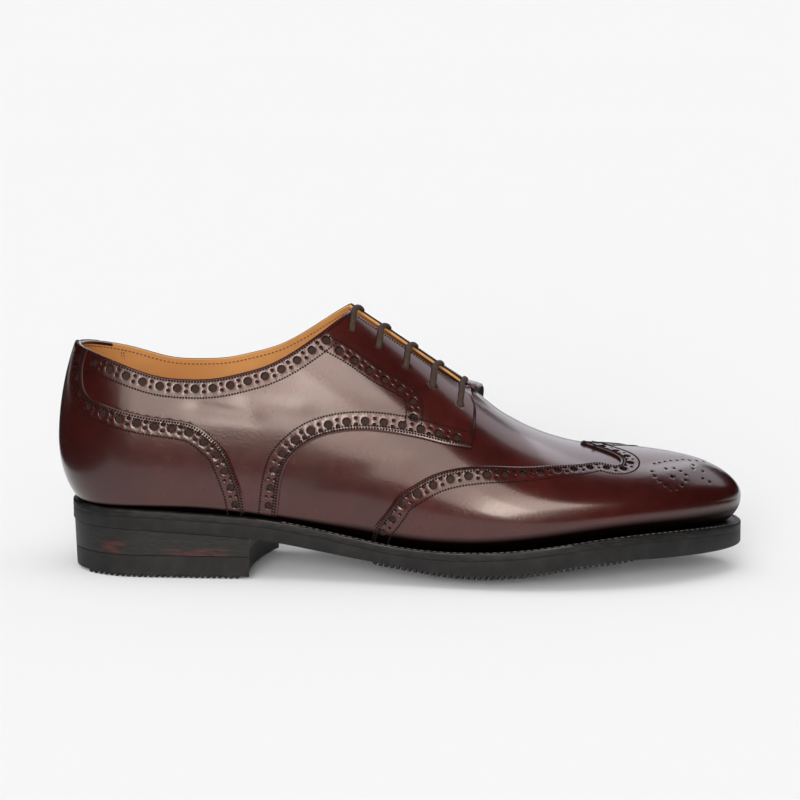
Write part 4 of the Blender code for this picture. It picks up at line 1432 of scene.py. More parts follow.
@dataclass
class Brogue:
    """Pattern of one holed band: large holes with a pair of small ones between them."""

    last: Last
    pitch: float = 8.2
    large: float = 1.75
    small: float = 0.68
    apart: float = 1.35

    def along(self, guide: Guide, start: float = 4.0, end: float = 4.0) -> list[Punch]:
        """Holes along a guide.

        Args:
            guide: middle line of the band.
            start, end: bare lengths at its ends.

        Returns:
            The holes.
        """
        count = max(1, int(round((guide.length - start - end) / self.pitch)))
        large = np.linspace(start, guide.length - end, count + 1)
        punches = [Punch(place, self.large) for place in guide.at(large)]
        between = guide.at((large[1:] + large[:-1]) / 2.0)
        ahead = self.last.point(guide.at((large[1:] + large[:-1]) / 2.0 + 0.5)) - self.last.point(between)
        across = unit(np.cross(self.last.normal(between), ahead))
        for sign in (-1.0, 1.0):
            places = self.last.moved(between, sign * self.apart * across, 1)
            punches += [Punch(place, self.small) for place in places]
        return punches


def clear_punches(last: Last, punches: list[Punch], edge: Array, room: float) -> list[Punch]:
    """Holes that keep clear of an outline and of each other.

    Args:
        last: the last.
        punches: wanted holes, the more important ones first.
        edge: places of the outline.
        room: least width of leather left between.

    Returns:
        The holes kept.
    """
    edge_tree = tree_of(last.point(edge))
    kept: list[Punch] = []
    centres: list[Array] = []
    for punch in punches:
        point = last.point(punch.place)
        if edge_tree.find(point)[2] < punch.radius + room + 0.6:
            continue
        near = [np.linalg.norm(point - c) - p.radius - punch.radius for p, c in zip(kept, centres)]
        if near and min(near) < room:
            continue
        kept.append(punch)
        centres.append(point)
    return kept


@dataclass
class UpperLines:
    """All seams and band lines of the upper, on both sides."""

    last: Last
    band: float = 4.3
    band_foot: float = 8.3

    def __post_init__(self) -> None:
        """Draws the lines of each side."""
        self.counter: dict[float, Guide] = {}
        self.quarter: dict[float, Guide] = {}
        self.facing: dict[float, Guide] = {}
        self.facing_band: dict[float, Guide] = {}
        self.wing: dict[float, Guide] = {}
        for side in (s.value for s in Side):
            last = self.last
            self.counter[side] = Guide(last, last.side_view(COUNTER_SEAM, side)).within()
            self.quarter[side] = Guide(last, last.side_view(QUARTER_SEAM, side)).within()
            ends = FACING_FRONT if side == Side.LATERAL.value else INNER_FACING_FRONT
            self.facing[side] = Guide(last, last.side_view(ends, side))
            self.facing_band[side] = Guide(last, last.side_view(FACING_BAND, side))
            wing = np.concatenate([last.side_view(WING_SEAM, side), self._peak(side)])
            self.wing[side] = Guide(last, wing).within()

    def _peak(self, side: float) -> Array:
        """Valley and peak of the wing on one side.

        Args:
            side: value of Side.

        Returns:
            Their places.
        """
        runs = np.linspace(self.last.run_end * 0.5, self.last.run_end, 1200)
        rows = []
        for x, share in WING_PEAK:
            at = self.last.point(stacked(runs, share, side))[:, 0]
            rows.append((runs[np.argmin(np.abs(at - x))], share, side))
        return np.array(rows)

    def mouth(self, first: float, last_run: float, side: float, step: float = 0.7) -> Array:
        """Places along collar and throat between two runs."""
        runs = np.linspace(first, last_run, max(2, int(abs(last_run - first) / step)))
        return stacked(runs, self.last.mouth(runs, side), side)

    def hem(self, first: float, last_run: float, side: float, step: float = 0.8) -> Array:
        """Places along the foot of the covers between two runs."""
        runs = np.linspace(first, last_run, max(2, int(abs(last_run - first) / step)))
        return stacked(runs, self.last.hem(runs, side), side)

    def collar_guide(self, first: float, last_run: float, side: float, below: float) -> Guide:
        """Line at a distance below the collar."""
        return Guide(self.last, self.mouth(first, last_run, side)).offset(-below)


@dataclass
class Upper:
    """Hollow upper: vamp, lining, tongue and the sewn covers."""

    last: Last
    lines: UpperLines
    finishes: Wardrobe
    wall: float = 1.9
    vamp_lift: float = 0.35
    quarter_top: float = 1.55
    counter_top: float = 2.05
    wing_top: float = 1.65
    rim_taper: float = 1.2
    rim_reach: float = 9.0
    rim_seam_below: float = 2.0
    rim_seam_lift: float = -1.28
    back_seam: tuple[Pair, ...] = ((-131.0, 94.5), (-131.0, 91.0), (-131.0, 87.0))
    back_seam_half: float = 0.6
    back_seam_lift: float = -1.5
    tab_run: float = 37.0
    tab_fold: float = 2.6
    inner_curl: float = 3.8
    outer_curl: float = 0.5
    edge_rows: Pair = (1.2, 2.3)
    stitch_sink: float = 0.04
    leather_room: float = 0.35
    collar_corner: Pair = (-33.5, 110.5)
    eyelet_radius: float = 1.7
    medallion_radius: float = 0.62
    heart_radius: float = 0.95
    tongue_gap: float = 2.9
    tongue_sink: float = 8.0
    tongue_thick: float = 2.2
    tongue_top_x: float = -21.0
    tongue_end_x: float = 44.0
    tongue_reach: float = 0.24
    tongue_narrow: float = 0.04
    tongue_round: float = 15.0
    rows: int = 64
    columns: int = 300

    def build(self) -> None:
        """Builds and dresses every piece of the upper."""
        self.shell()
        self.lining_seams()
        self.wing_cap()
        for side in Side:
            self.quarter(side)
        self.counter()
        self.tongue()

    def shell(self) -> None:
        """Vamp outside and tan lining inside, open at collar, throat and underneath."""
        last = self.last
        runs = np.linspace(0.0, last.run_end, self.columns + 1)
        laps = [(run, Side.LATERAL.value) for run in runs]
        laps += [(run, Side.MEDIAL.value) for run in runs[-2:0:-1]]
        run, side = np.array(laps).T
        mouth = np.array([float(last.mouth(r, s)) for r, s in laps])
        at_ridge = mouth > 0.999
        rise = np.linspace(0.0, 1.0, self.rows + 1)
        places = stacked(run[:, None], mouth[:, None] * rise[None, :], side[:, None])
        normals = last.normal(places)
        outer = last.point(places) + self.vamp_lift * normals
        near_mouth = np.linalg.norm(outer - outer[:, -1:, :], axis=-1)
        taper = self.rim_taper * (1.0 - np.clip(near_mouth / self.rim_reach, 0.0, 1.0)) ** 2
        taper = np.where(mouth[:, None] < 1.0, taper, 0.0)
        inner = last.point(places) - (self.wall - taper)[..., None] * normals
        size = self.rows + 1
        index = np.arange(len(laps) * size).reshape(len(laps), size)
        for lap in range(self.columns + 1, len(laps)):
            if at_ridge[lap]:
                index[lap, -1] = index[2 * self.columns - lap, -1]
        loop = np.concatenate([index, index[:1]])
        vamp = Piece("vamp")
        vamp.add(outer.reshape(-1, 3), grid_faces(loop), normals.reshape(-1, 3))
        lining = Piece("lining")
        lining.add(inner.reshape(-1, 3), grid_faces(loop[:, ::-1]), -normals.reshape(-1, 3))
        folded = ((near_mouth < self.tab_fold) & (run[:, None] < self.tab_run)).reshape(-1)
        lining.finishes = [int(folded[face].all()) for face in lining.faces]
        for lap in range(len(laps)):
            after = (lap + 1) % len(laps)
            if at_ridge[lap] and at_ridge[after]:
                continue
            corners = np.stack([outer[lap, -1], outer[after, -1], inner[after, -1], inner[lap, -1]])
            facing = unit(np.cross(corners[1] - corners[0], corners[3] - corners[0]))
            tab = 1 if run[lap] < self.tab_run else 0
            lining.add(corners, [(0, 1, 2, 3)], np.repeat(facing[None, :], 4, axis=0), tab)
        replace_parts(vamp.make([self.finishes.calf], "upper_leather"), "upper")
        lining.make([self.finishes.lining, self.finishes.calf], "lining_leather")

    def lining_seams(self) -> None:
        """Stitched rim of the lining and the double seam down its back."""
        stitches = Piece("lining_stitches")
        for side in Side:
            end_run = self.last.run_end * 0.44
            rim = self.lines.collar_guide(6.0, end_run, side.value, self.rim_seam_below)
            Stitching(pitch=1.9, long=0.6, wide=0.3).row(stitches, rim, self.rim_seam_lift)
        back = Guide(self.last, self.last.side_view(self.back_seam, Side.MEDIAL.value))
        for shift in (-self.back_seam_half, self.back_seam_half):
            Stitching(pitch=1.4, long=0.5, wide=0.25).row(stitches, back.offset(shift), self.back_seam_lift)
        stitches.make([self.finishes.lining_thread], "lining_leather")

    def _band(self, seam: Guide, ends: Pair, stitches: Piece, top: float) -> list[Punch]:
        """Band to the right of a seam: its stitches and holes.

        Args:
            seam: edge of the cover.
            ends: bare lengths at the band's ends.
            stitches: piece that takes the stitches.
            top: lift of the cover's top.

        Returns:
            The holes.
        """
        for inset in (*self.edge_rows, self.lines.band_foot):
            Stitching().row(stitches, seam.offset(-inset), top - self.stitch_sink)
        return Brogue(self.last).along(seam.offset(-self.lines.band), *ends)

    def _cover(
        self, name: str, outline: Array, punches: list[Punch], top: float, **curl: Any,
    ) -> bpy.types.Object:
        """Makes one cover.

        Args:
            name: its name.
            outline: places round it.
            punches: wanted holes, the more important ones first.
            top: lift of its top.
            curl: fields of Cover for a corner that lifts.

        Returns:
            The object.
        """
        punches = clear_punches(self.last, punches, outline, self.leather_room)
        cover = Cover(self.last, name, outline, punches, top, **curl)
        finishes = [self.finishes.calf, self.finishes.edge, self.finishes.hole]
        return cover.piece().make(finishes, "upper_leather")

    def wing_cap(self) -> None:
        """Wing cap with its holed band, stitching and toe medallion."""
        last, lines = self.last, self.lines
        lateral, medial = (lines.wing[s.value] for s in Side)
        hem_medial = lines.hem(medial.places[0, 0] + 0.8, last.run_end - 0.5, Side.MEDIAL.value)
        hem_lateral = lines.hem(last.run_end, lateral.places[0, 0] + 0.8, Side.LATERAL.value)
        outline = np.concatenate([lateral.places, medial.places[-2::-1], hem_medial, hem_lateral])
        stitches = Piece("wing_stitches")
        punches: list[Punch] = []
        for seam in (lateral, medial):
            punches += self._band(seam, (6.0, 2.0), stitches, self.wing_top)
        punches.sort(key=lambda p: -p.radius)
        made = self._cover("wing_cap_dressed", outline, punches + self.medallion(), self.wing_top)
        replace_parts(made, "wing_cap")
        stitches.make([self.finishes.upper_thread], "upper_leather")

    def medallion(self) -> list[Punch]:
        """Punched ornament on the toe, with its mirror image on the inner half.

        Returns:
            Its holes.
        """
        spots = [(place, self.medallion_radius) for place in MEDALLION]
        spots.append((MEDALLION_HEART, self.heart_radius))
        result = []
        for place, radius in spots:
            run, share, side = self.last.locate((0, 1), place, Side.LATERAL.value)
            result += [Punch(np.array((run, share, sign * side)), radius) for sign in (1.0, -1.0)]
        return result

    def quarter(self, side: Side) -> None:
        """Quarter with its facing, eyelets, holed bands and stitching.

        Args:
            side: the side of the shoe that it covers.
        """
        last, lines, sign = self.last, self.lines, side.value
        front, facing, rear = lines.quarter[sign], lines.facing[sign], lines.counter[sign].offset(-2.0)
        throat = lines.mouth(facing.places[-1, 0] - 1.5, rear.places[0, 0] + 0.7, sign)
        foot = lines.hem(rear.places[-1, 0] + 0.8, front.places[0, 0] - 0.8, sign)
        outline = np.concatenate([front.places, facing.places, throat, rear.places, foot])
        corner_run = float(last.locate((0, 2), self.collar_corner, sign)[0])
        collar_run = float(lines.counter[sign].places[0, 0]) + 2.0
        throat_run = float(facing.places[-1, 0]) - 3.0
        collar = lines.collar_guide(collar_run, corner_run, sign, lines.band)
        facing_band = lines.facing_band[sign]
        punches: list[Punch] = []
        bands = ((front.offset(lines.band).cut(0.0, 4.0), 4.5), (collar, 4.5), (facing_band, 7.5))
        for band, start in bands:
            punches += Brogue(last).along(band, start, 3.0)
        punches.sort(key=lambda p: -p.radius)
        eyelets = [Punch(place, self.eyelet_radius) for place in last.side_view(EYELET_ROWS[side], sign)]
        near, far = self.edge_rows[0], lines.band_foot
        rows = [front.offset(inset) for inset in (*self.edge_rows, far)]
        rows += [lines.collar_guide(collar_run, corner_run, sign, below) for below in (near, far)]
        rows += [facing_band.offset(shift * (far - near) / 2.0) for shift in (1.0, -1.0)]
        rows += [facing.offset(1.3), lines.collar_guide(corner_run, throat_run, sign, 1.6)]
        stitches = Piece("quarter_stitches_" + side.name.lower())
        for row in rows:
            Stitching().row(stitches, row, self.quarter_top - self.stitch_sink)
        made = self._cover(
            "quarter_%s_dressed" % side.name.lower(), outline, eyelets + punches, self.quarter_top,
            curl_place=facing.places[-1], curl=self.inner_curl if side is Side.MEDIAL else self.outer_curl,
        )
        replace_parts(made, "quarter_" + side.name.lower())
        stitches.make([self.finishes.upper_thread], "upper_leather")

    def counter(self) -> None:
        """Heel counter with its back tab, wrapped round the heel."""
        lines = self.lines
        lateral, medial = (lines.counter[s.value] for s in Side)
        left, right = Side.LATERAL.value, Side.MEDIAL.value
        outline = np.concatenate([
            lateral.places,
            lines.hem(lateral.places[-1, 0] - 0.8, 0.0, left),
            lines.hem(0.8, medial.places[-1, 0] - 0.8, right),
            medial.places[::-1],
            lines.mouth(medial.places[0, 0] - 0.7, 0.7, right),
            lines.mouth(0.0, lateral.places[0, 0] - 0.7, left),
        ])
        stitches = Piece("counter_stitches")
        punches: list[Punch] = []
        for seam in (lateral, medial):
            punches += self._band(seam, (6.0, 5.0), stitches, self.counter_top)
        punches.sort(key=lambda p: -p.radius)
        made = self._cover("heel_counter_dressed", outline, punches, self.counter_top)
        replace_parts(made, "heel_counter")
        stitches.make([self.finishes.upper_thread], "upper_leather")

    def tongue(self) -> None:
        """Tongue: a curved leaf under the facings."""
        last = self.last
        ends = [
            last.locate((0, 2), (x, float(last.form["ridge"](x)) - 4.0), Side.LATERAL.value)[0]
            for x in (self.tongue_top_x, self.tongue_end_x)
        ]
        runs = np.linspace(ends[0], ends[1], 81)
        x = last.point(stacked(runs, 1.0, Side.LATERAL.value))[:, 0]
        top_share = (self.tongue_end_x - x) / (self.tongue_end_x - self.tongue_top_x)
        reach = self.tongue_reach - self.tongue_narrow * top_share
        v = np.linspace(-1.0, 1.0, 61)
        side = np.where(v <= 0.0, Side.LATERAL.value, Side.MEDIAL.value)
        rounded = runs[:, None] + self.tongue_round * (v**4)[None, :] * np.linspace(1.0, 0.0, 81)[:, None]
        places = stacked(rounded, 1.0 - np.abs(v)[None, :] * reach[:, None], side[None, :])
        normals = last.normal(places)
        gap = self.wall + self.tongue_gap + self.tongue_sink * np.clip(top_share, 0.0, 1.0) ** 3
        top = last.point(places) - gap[:, None, None] * normals
        under = top - self.tongue_thick * normals
        index = np.arange(top.shape[0] * top.shape[1]).reshape(top.shape[:2])
        piece = Piece("tongue_dressed")
        piece.add(top, grid_faces(index), normals.reshape(-1, 3))
        piece.add(under, grid_faces(index[:, ::-1]), -normals.reshape(-1, 3), 1)
        back = slice(None, None, -1)
        for rim in ((0, slice(None)), (-1, back), (back, 0), (slice(None), -1)):
            along = unit(np.gradient(top[rim], axis=0))
            piece.strip(top[rim], under[rim], unit(np.cross(along, normals[rim])))
        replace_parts(piece.make([self.finishes.calf, self.finishes.lining], "upper_leather"), "tongue")


@dataclass
class Sole:
    """Insole, welt, outsole and heel."""

    last: Last
    finishes: Wardrobe
    rear_x: float = -150.4
    tip_x: float = 154.8
    heel_round: float = 36.0
    toe_round: float = 54.0
    gap: float = 0.3
    welt_thick: float = 3.4
    welt_lip: float = 5.0
    insole_thick: float = 3.0
    insole_clear: float = 3.5
    insole_rim: float = 1.35
    outsole_inset: float = 0.05
    tread_from_x: float = -10.0
    tread_to_x: float = 105.0
    tread_step: float = 1.2
    rib_pitch: float = 2.6
    rib_width: float = 1.35
    heel_split_z: float = 10.0
    heel_height: float = 22.0
    breast_lateral_x: float = -66.4
    breast_medial_x: float = -58.6
    breast_hollow: float = 4.0
    inset_top: float = 0.6
    inset_floor: float = 1.5
    tooth_height: float = 1.0
    stitch_from_x: float = -52.0
    stitch_inset: float = 2.0
    # Ring of the welt's top edge and the span of x that carry its painted highlight.
    highlight_ring: int = 4
    highlight_from_x: float = -64.0
    highlight_to_x: float = 78.0

    def build(self) -> None:
        """Builds and dresses every piece of the sole."""
        self.insole()
        self.welt()
        self.outsole()
        self.heel()

    @staticmethod
    def inset_plan(points: Array, inset: float) -> Array:
        """Plan points of one side moved in by an inset, from the back forward.

        Args:
            points: rows of x and y.
            inset: distance inwards.

        Returns:
            The moved rows.
        """
        before, after = points[1].copy(), points[-2].copy()
        before[1] = 2.0 * points[0, 1] - points[1, 1]
        after[1] = 2.0 * points[-1, 1] - points[-2, 1]
        if np.ptp(points[-2:, 0]) > np.ptp(points[-2:, 1]):
            after = 2.0 * points[-1] - points[-2]
        around = np.vstack([before, points, after])
        along = unit(around[2:] - around[:-2])
        inward = np.stack([-along[:, 1], along[:, 0]], axis=1)
        if points[:, 1].mean() > 0.0:
            inward = -inward
        return points + inset * inward

    def outline(self, side: float, inset: float, front: float | None = None, count: int = 240) -> Array:
        """Outline of the sole on one side, from the back to the toe tip or to a front x.

        Args:
            side: value of Side.
            inset: distance inwards.
            front: x at which a heel ends, or None for the whole sole.
            count: number of points.

        Returns:
            Rows of x and y.
        """
        toe_round = self.toe_round if front is None else 0.0
        length = (self.tip_x if front is None else front) - self.rear_x
        straight = length - self.heel_round - toe_round
        run = np.linspace(0.0, (self.heel_round + toe_round) * QUARTER_TURN + straight, count)
        x = self.rear_x + rounded_run(run, self.heel_round, straight, toe_round)
        ends = self.last.end_round(x - self.rear_x, self.heel_round)
        ends = ends * self.last.end_round(self.tip_x - x, self.toe_round)
        name = "lateral" if side < 0.0 else "medial"
        y = self.last.form["axis"](x) + side * ends * self.last.sole[name](x)
        return self.inset_plan(np.stack([x, y], axis=1), inset)

    def foot(self, side: float, inset: float, count: int = 240) -> Array:
        """Plan of the upper's foot on one side, moved in by an inset."""
        runs = np.linspace(0.0, self.last.run_end, count)
        return self.inset_plan(self.last.point(stacked(runs, 0.0, side))[:, :2], inset)

    def welt_bottom(self, x: Array, y: Array) -> Array:
        """Height of the welt's lower face."""
        return self.last.seat(x, y) - self.welt_thick

    def tread_mask(self, x: Array) -> Array:
        """Where the sole carries its ribbed tread.

        Args:
            x: places along the sole.

        Returns:
            1 on the tread and 0 off it.
        """
        rear = soft_step(x, self.tread_from_x - 1.0, self.tread_from_x)
        return rear * (1.0 - soft_step(x, self.tread_to_x - 8.0, self.tread_to_x + 4.0))

    def bare_bottom(self, x: Array, y: Array) -> Array:
        """Height of the outsole's lower face between the ribs."""
        sag = self.last.sole["camber"](x) * (1.0 - self.last.across_square(x, y))
        return np.maximum(self.last.sole["edge"](x) - sag, self.tread_step * self.tread_mask(x))

    def tread_bottom(self, x: Array, y: Array) -> Array:
        """Height of the ribs' lower face."""
        return np.maximum(self.bare_bottom(x, y) - self.tread_step * self.tread_mask(x), 0.0)

    @staticmethod
    def leaf(lateral: Array, medial: Array, across: int, height: Callable, hollow: float = 0.0) -> Array:
        """Grid of points across two outlines.

        Args:
            lateral, medial: matching outlines from the back forward.
            across: steps from side to side.
            height: function of x and y giving z.
            hollow: how far the front edge is hollowed towards the back.

        Returns:
            Rows of points.
        """
        v = np.linspace(-1.0, 1.0, across + 1)
        share = np.linspace(0.0, 1.0, len(lateral))
        plan = lateral[:, None, :] + (medial - lateral)[:, None, :] * ((v + 1.0) / 2.0)[None, :, None]
        x = plan[..., 0] - hollow * (share**2)[:, None] * (1.0 - v**2)[None, :]
        return np.stack([x, plan[..., 1], height(x, plan[..., 1])], axis=-1)

    @staticmethod
    def block(piece: Piece, levels: Sequence[Array], finish: int = 0) -> None:
        """Adds a solid from leaves of equal size: caps at both ends and walls between their borders.

        Args:
            piece: piece that takes it.
            levels: leaves from the bottom up.
            finish: number of the finish.
        """
        rows, columns = levels[0].shape[:2]
        index = np.arange(rows * columns).reshape(rows, columns)
        rim = np.concatenate([index[:, 0], index[-1, 1:], index[-2::-1, -1], index[0, -2:0:-1]])
        size = rows * columns
        points = np.concatenate([level.reshape(-1, 3) for level in levels])
        faces = list(grid_faces(index[:, ::-1])) + list(grid_faces(index + size * (len(levels) - 1)))
        for level in range(len(levels) - 1):
            low, high = rim + level * size, rim + (level + 1) * size
            quads = zip(low, np.roll(low, -1), np.roll(high, -1), high)
            faces += [tuple(int(i) for i in q) for q in quads]
        used = np.unique(np.concatenate([np.array(f) for f in faces]))
        renumber = np.full(len(points), -1)
        renumber[used] = np.arange(len(used))
        piece.add(points[used], [tuple(renumber[list(f)]) for f in faces], None, finish)

    def insole(self) -> None:
        """Insole that shows through the collar."""
        sides = [side.value for side in Side]
        height = self.gap + self.insole_thick
        seat = self.last.seat
        profile = (
            (self.welt_lip + 2.0 * self.gap, self.welt_bottom),
            (self.insole_clear, lambda x, y: seat(x, y) + self.gap),
            (self.insole_rim, lambda x, y: seat(x, y) + height - 0.5),
            (self.insole_rim + 0.6, lambda x, y: seat(x, y) + height),
        )
        piece = Piece("insole_dressed")
        self.block(piece, [
            self.leaf(*(self.foot(s, inset, 160) for s in sides), 24, z) for inset, z in profile
        ])
        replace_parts(piece.make([self.finishes.lining], "lining_leather"), "insole")

    def welt(self) -> None:
        """Welt with rounded edges, a painted highlight along its top outer edge, and the stitches along its
        top.
        """
        seat = self.last.seat
        profile = (
            (0.14, -self.welt_thick), (0.03, -self.welt_thick + 0.12), (0.0, -self.welt_thick + 0.4),
            (0.0, -0.75), (0.12, -0.35), (0.4, -0.1), (0.9, 0.0),
        )
        rings = []
        for inset, z in profile:
            plan = self._lap(lambda s, d=inset: self.outline(s, d))
            rings.append(np.column_stack([plan, seat(*plan.T) + z]))
        inner = self._lap(lambda s: self.foot(s, self.welt_lip))
        for z in (0.0, -self.welt_thick):
            rings.append(np.column_stack([inner, seat(*inner.T) + z]))
        piece = Piece("welt_dressed")
        count = len(rings[0])
        faces = []
        steps = [(k, (k + 1) % count) for k in range(count)]
        for level in range(len(rings)):
            low, high = level * count, (level + 1) % len(rings) * count
            faces += [(low + a, low + b, high + b, high + a) for a, b in steps]
        piece.add(np.concatenate(rings), faces)
        # Painted highlight: one ring of the top edge takes the light grey finish between two x.
        for k, x in enumerate(rings[self.highlight_ring][:, 0]):
            piece.finishes[self.highlight_ring * count + k] = int(self.highlight_from_x < x < self.highlight_to_x)
        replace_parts(piece.make([self.finishes.welt, self.finishes.welt_highlight], "welt_leather"), "welt")
        self.welt_stitches()

    def _lap(self, side_line: Callable) -> Array:
        """Closed lap from the lines of both sides."""
        lateral, medial = (side_line(side.value) for side in Side)
        return np.vstack([lateral, medial[-2:0:-1]])

    def welt_stitches(self) -> None:
        """Grey stitches on the welt's top, round the forepart."""
        plan = self._lap(lambda s: self.outline(s, self.stitch_inset, count=900))
        plan = plan[plan[:, 0] > self.stitch_from_x]
        stitch = Stitching(pitch=3.0, long=0.95, wide=0.24, high=0.2)
        lengths = travelled(plan)
        wanted = np.arange(1.0, lengths[-1], stitch.pitch)
        x, y = (np.interp(wanted, lengths, plan[:, i]) for i in (0, 1))
        points = np.column_stack([x, y, self.last.seat(x, y) + 0.08])
        along = unit(np.gradient(points, axis=0))
        normals = unit(np.cross(along, np.cross((0.0, 0.0, 1.0), along)))
        piece = Piece("welt_stitches")
        stitch.add(piece, points, along, normals)
        piece.make([self.finishes.welt_thread], "welt_leather")

    def outsole(self) -> None:
        """Outsole: arched waist, sprung toe and a forepart with ribs across it."""
        sides = [side.value for side in Side]

        def level(inset: float, height: Callable) -> Array:
            """Leaf of the outsole at an inset."""
            return self.leaf(*(self.outline(s, self.outsole_inset + inset) for s in sides), 20, height)

        levels = [
            level(1.0, self.bare_bottom),
            level(0.3, lambda x, y: self.bare_bottom(x, y) + 0.12),
            level(0.0, lambda x, y: self.bare_bottom(x, y) + 0.6),
            level(0.0, lambda x, y: self.welt_bottom(x, y) - 0.2),
            level(0.12, lambda x, y: self.welt_bottom(x, y) - 0.05),
        ]
        piece = Piece("outsole_dressed")
        self.block(piece, levels)
        self._ribs(piece, self.tread_from_x, self.tread_to_x, self.outsole_inset, None)
        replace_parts(piece.make([self.finishes.rubber], "sole_rubber"), "outsole")

    def _ribs(self, piece: Piece, first: float, last_x: float, inset: float, height: float | None) -> None:
        """Adds ribs across the tread, or teeth across the heel where a height is given.

        Args:
            piece: piece that takes them.
            first, last_x: x of the first and the last rib.
            inset: inset of their ends from the sole's outline.
            height: height of the heel's teeth, or None on the tread.
        """
        edges = []
        for side in Side:
            front = None if height is None else self.breast_lateral_x
            edges.append(self.outline(side.value, inset, front, 600))
        for middle in np.arange(first, last_x, self.rib_pitch):
            x = np.array([middle - self.rib_width / 2.0, middle + self.rib_width / 2.0])
            ends = [np.column_stack([x, np.interp(x, edge[:, 0], edge[:, 1])]) for edge in edges]
            if height is None:
                top = self.leaf(*ends, 16, lambda a, b: self.bare_bottom(a, b) + 0.9)
                low = self.leaf(*ends, 16, self.tread_bottom)
            else:
                top = self.leaf(*ends, 4, lambda a, b: np.full(a.shape, height + 0.4))
                low = self.leaf(*ends, 4, lambda a, b: np.zeros(a.shape))
            self.block(piece, [low, top])

    def heel_inset(self, z: float) -> float:
        """Inset of the heel's wall, which draws in towards the floor."""
        share = min(max(z / self.heel_height, 0.0), 1.0)
        return self.inset_floor + (self.inset_top - self.inset_floor) * share

    def heel_leaf(self, inset: float, height: Callable) -> Array:
        """Leaf of the heel: the sole's outline back of a hollowed breast.

        Args:
            inset: distance inwards from the sole's outline.
            height: function of x and y giving z.

        Returns:
            Rows of points.
        """
        breasts = (self.breast_lateral_x, self.breast_medial_x)
        loops = [self.outline(s.value, inset, b - inset * 0.3, 110) for s, b in zip(Side, breasts)]
        return self.leaf(loops[0], loops[1], 14, height, self.breast_hollow)

    def heel(self) -> None:
        """Burnished stack and the rubber top piece with its fine teeth."""
        def flat(z: float, extra: float = 0.0) -> Array:
            """Level leaf of the heel at a height."""
            return self.heel_leaf(self.heel_inset(z) + extra, lambda x, y: np.full(x.shape, z))

        low = self.heel_split_z + 0.15
        stack = Piece("heel_stack_dressed")
        self.block(stack, [
            flat(low, 0.14), flat(low + 0.15),
            self.heel_leaf(self.inset_top, lambda x, y: self.bare_bottom(x, y) - 0.2),
            self.heel_leaf(self.inset_top + 0.14, lambda x, y: self.bare_bottom(x, y) - 0.05),
        ])
        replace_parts(stack.make([self.finishes.stack], "heel_leather"), "heel_stack")
        tooth = self.tooth_height
        top_piece = Piece("heel_top_piece_dressed")
        self.block(top_piece, [
            flat(tooth, 0.35), flat(tooth + 0.3),
            flat(self.heel_split_z - 0.15), flat(self.heel_split_z, 0.14),
        ])
        self._ribs(top_piece, -140.0, self.breast_lateral_x - 4.0, self.inset_floor + 0.25, tooth)
        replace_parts(top_piece.make([self.finishes.rubber], "sole_rubber"), "heel_top_piece")


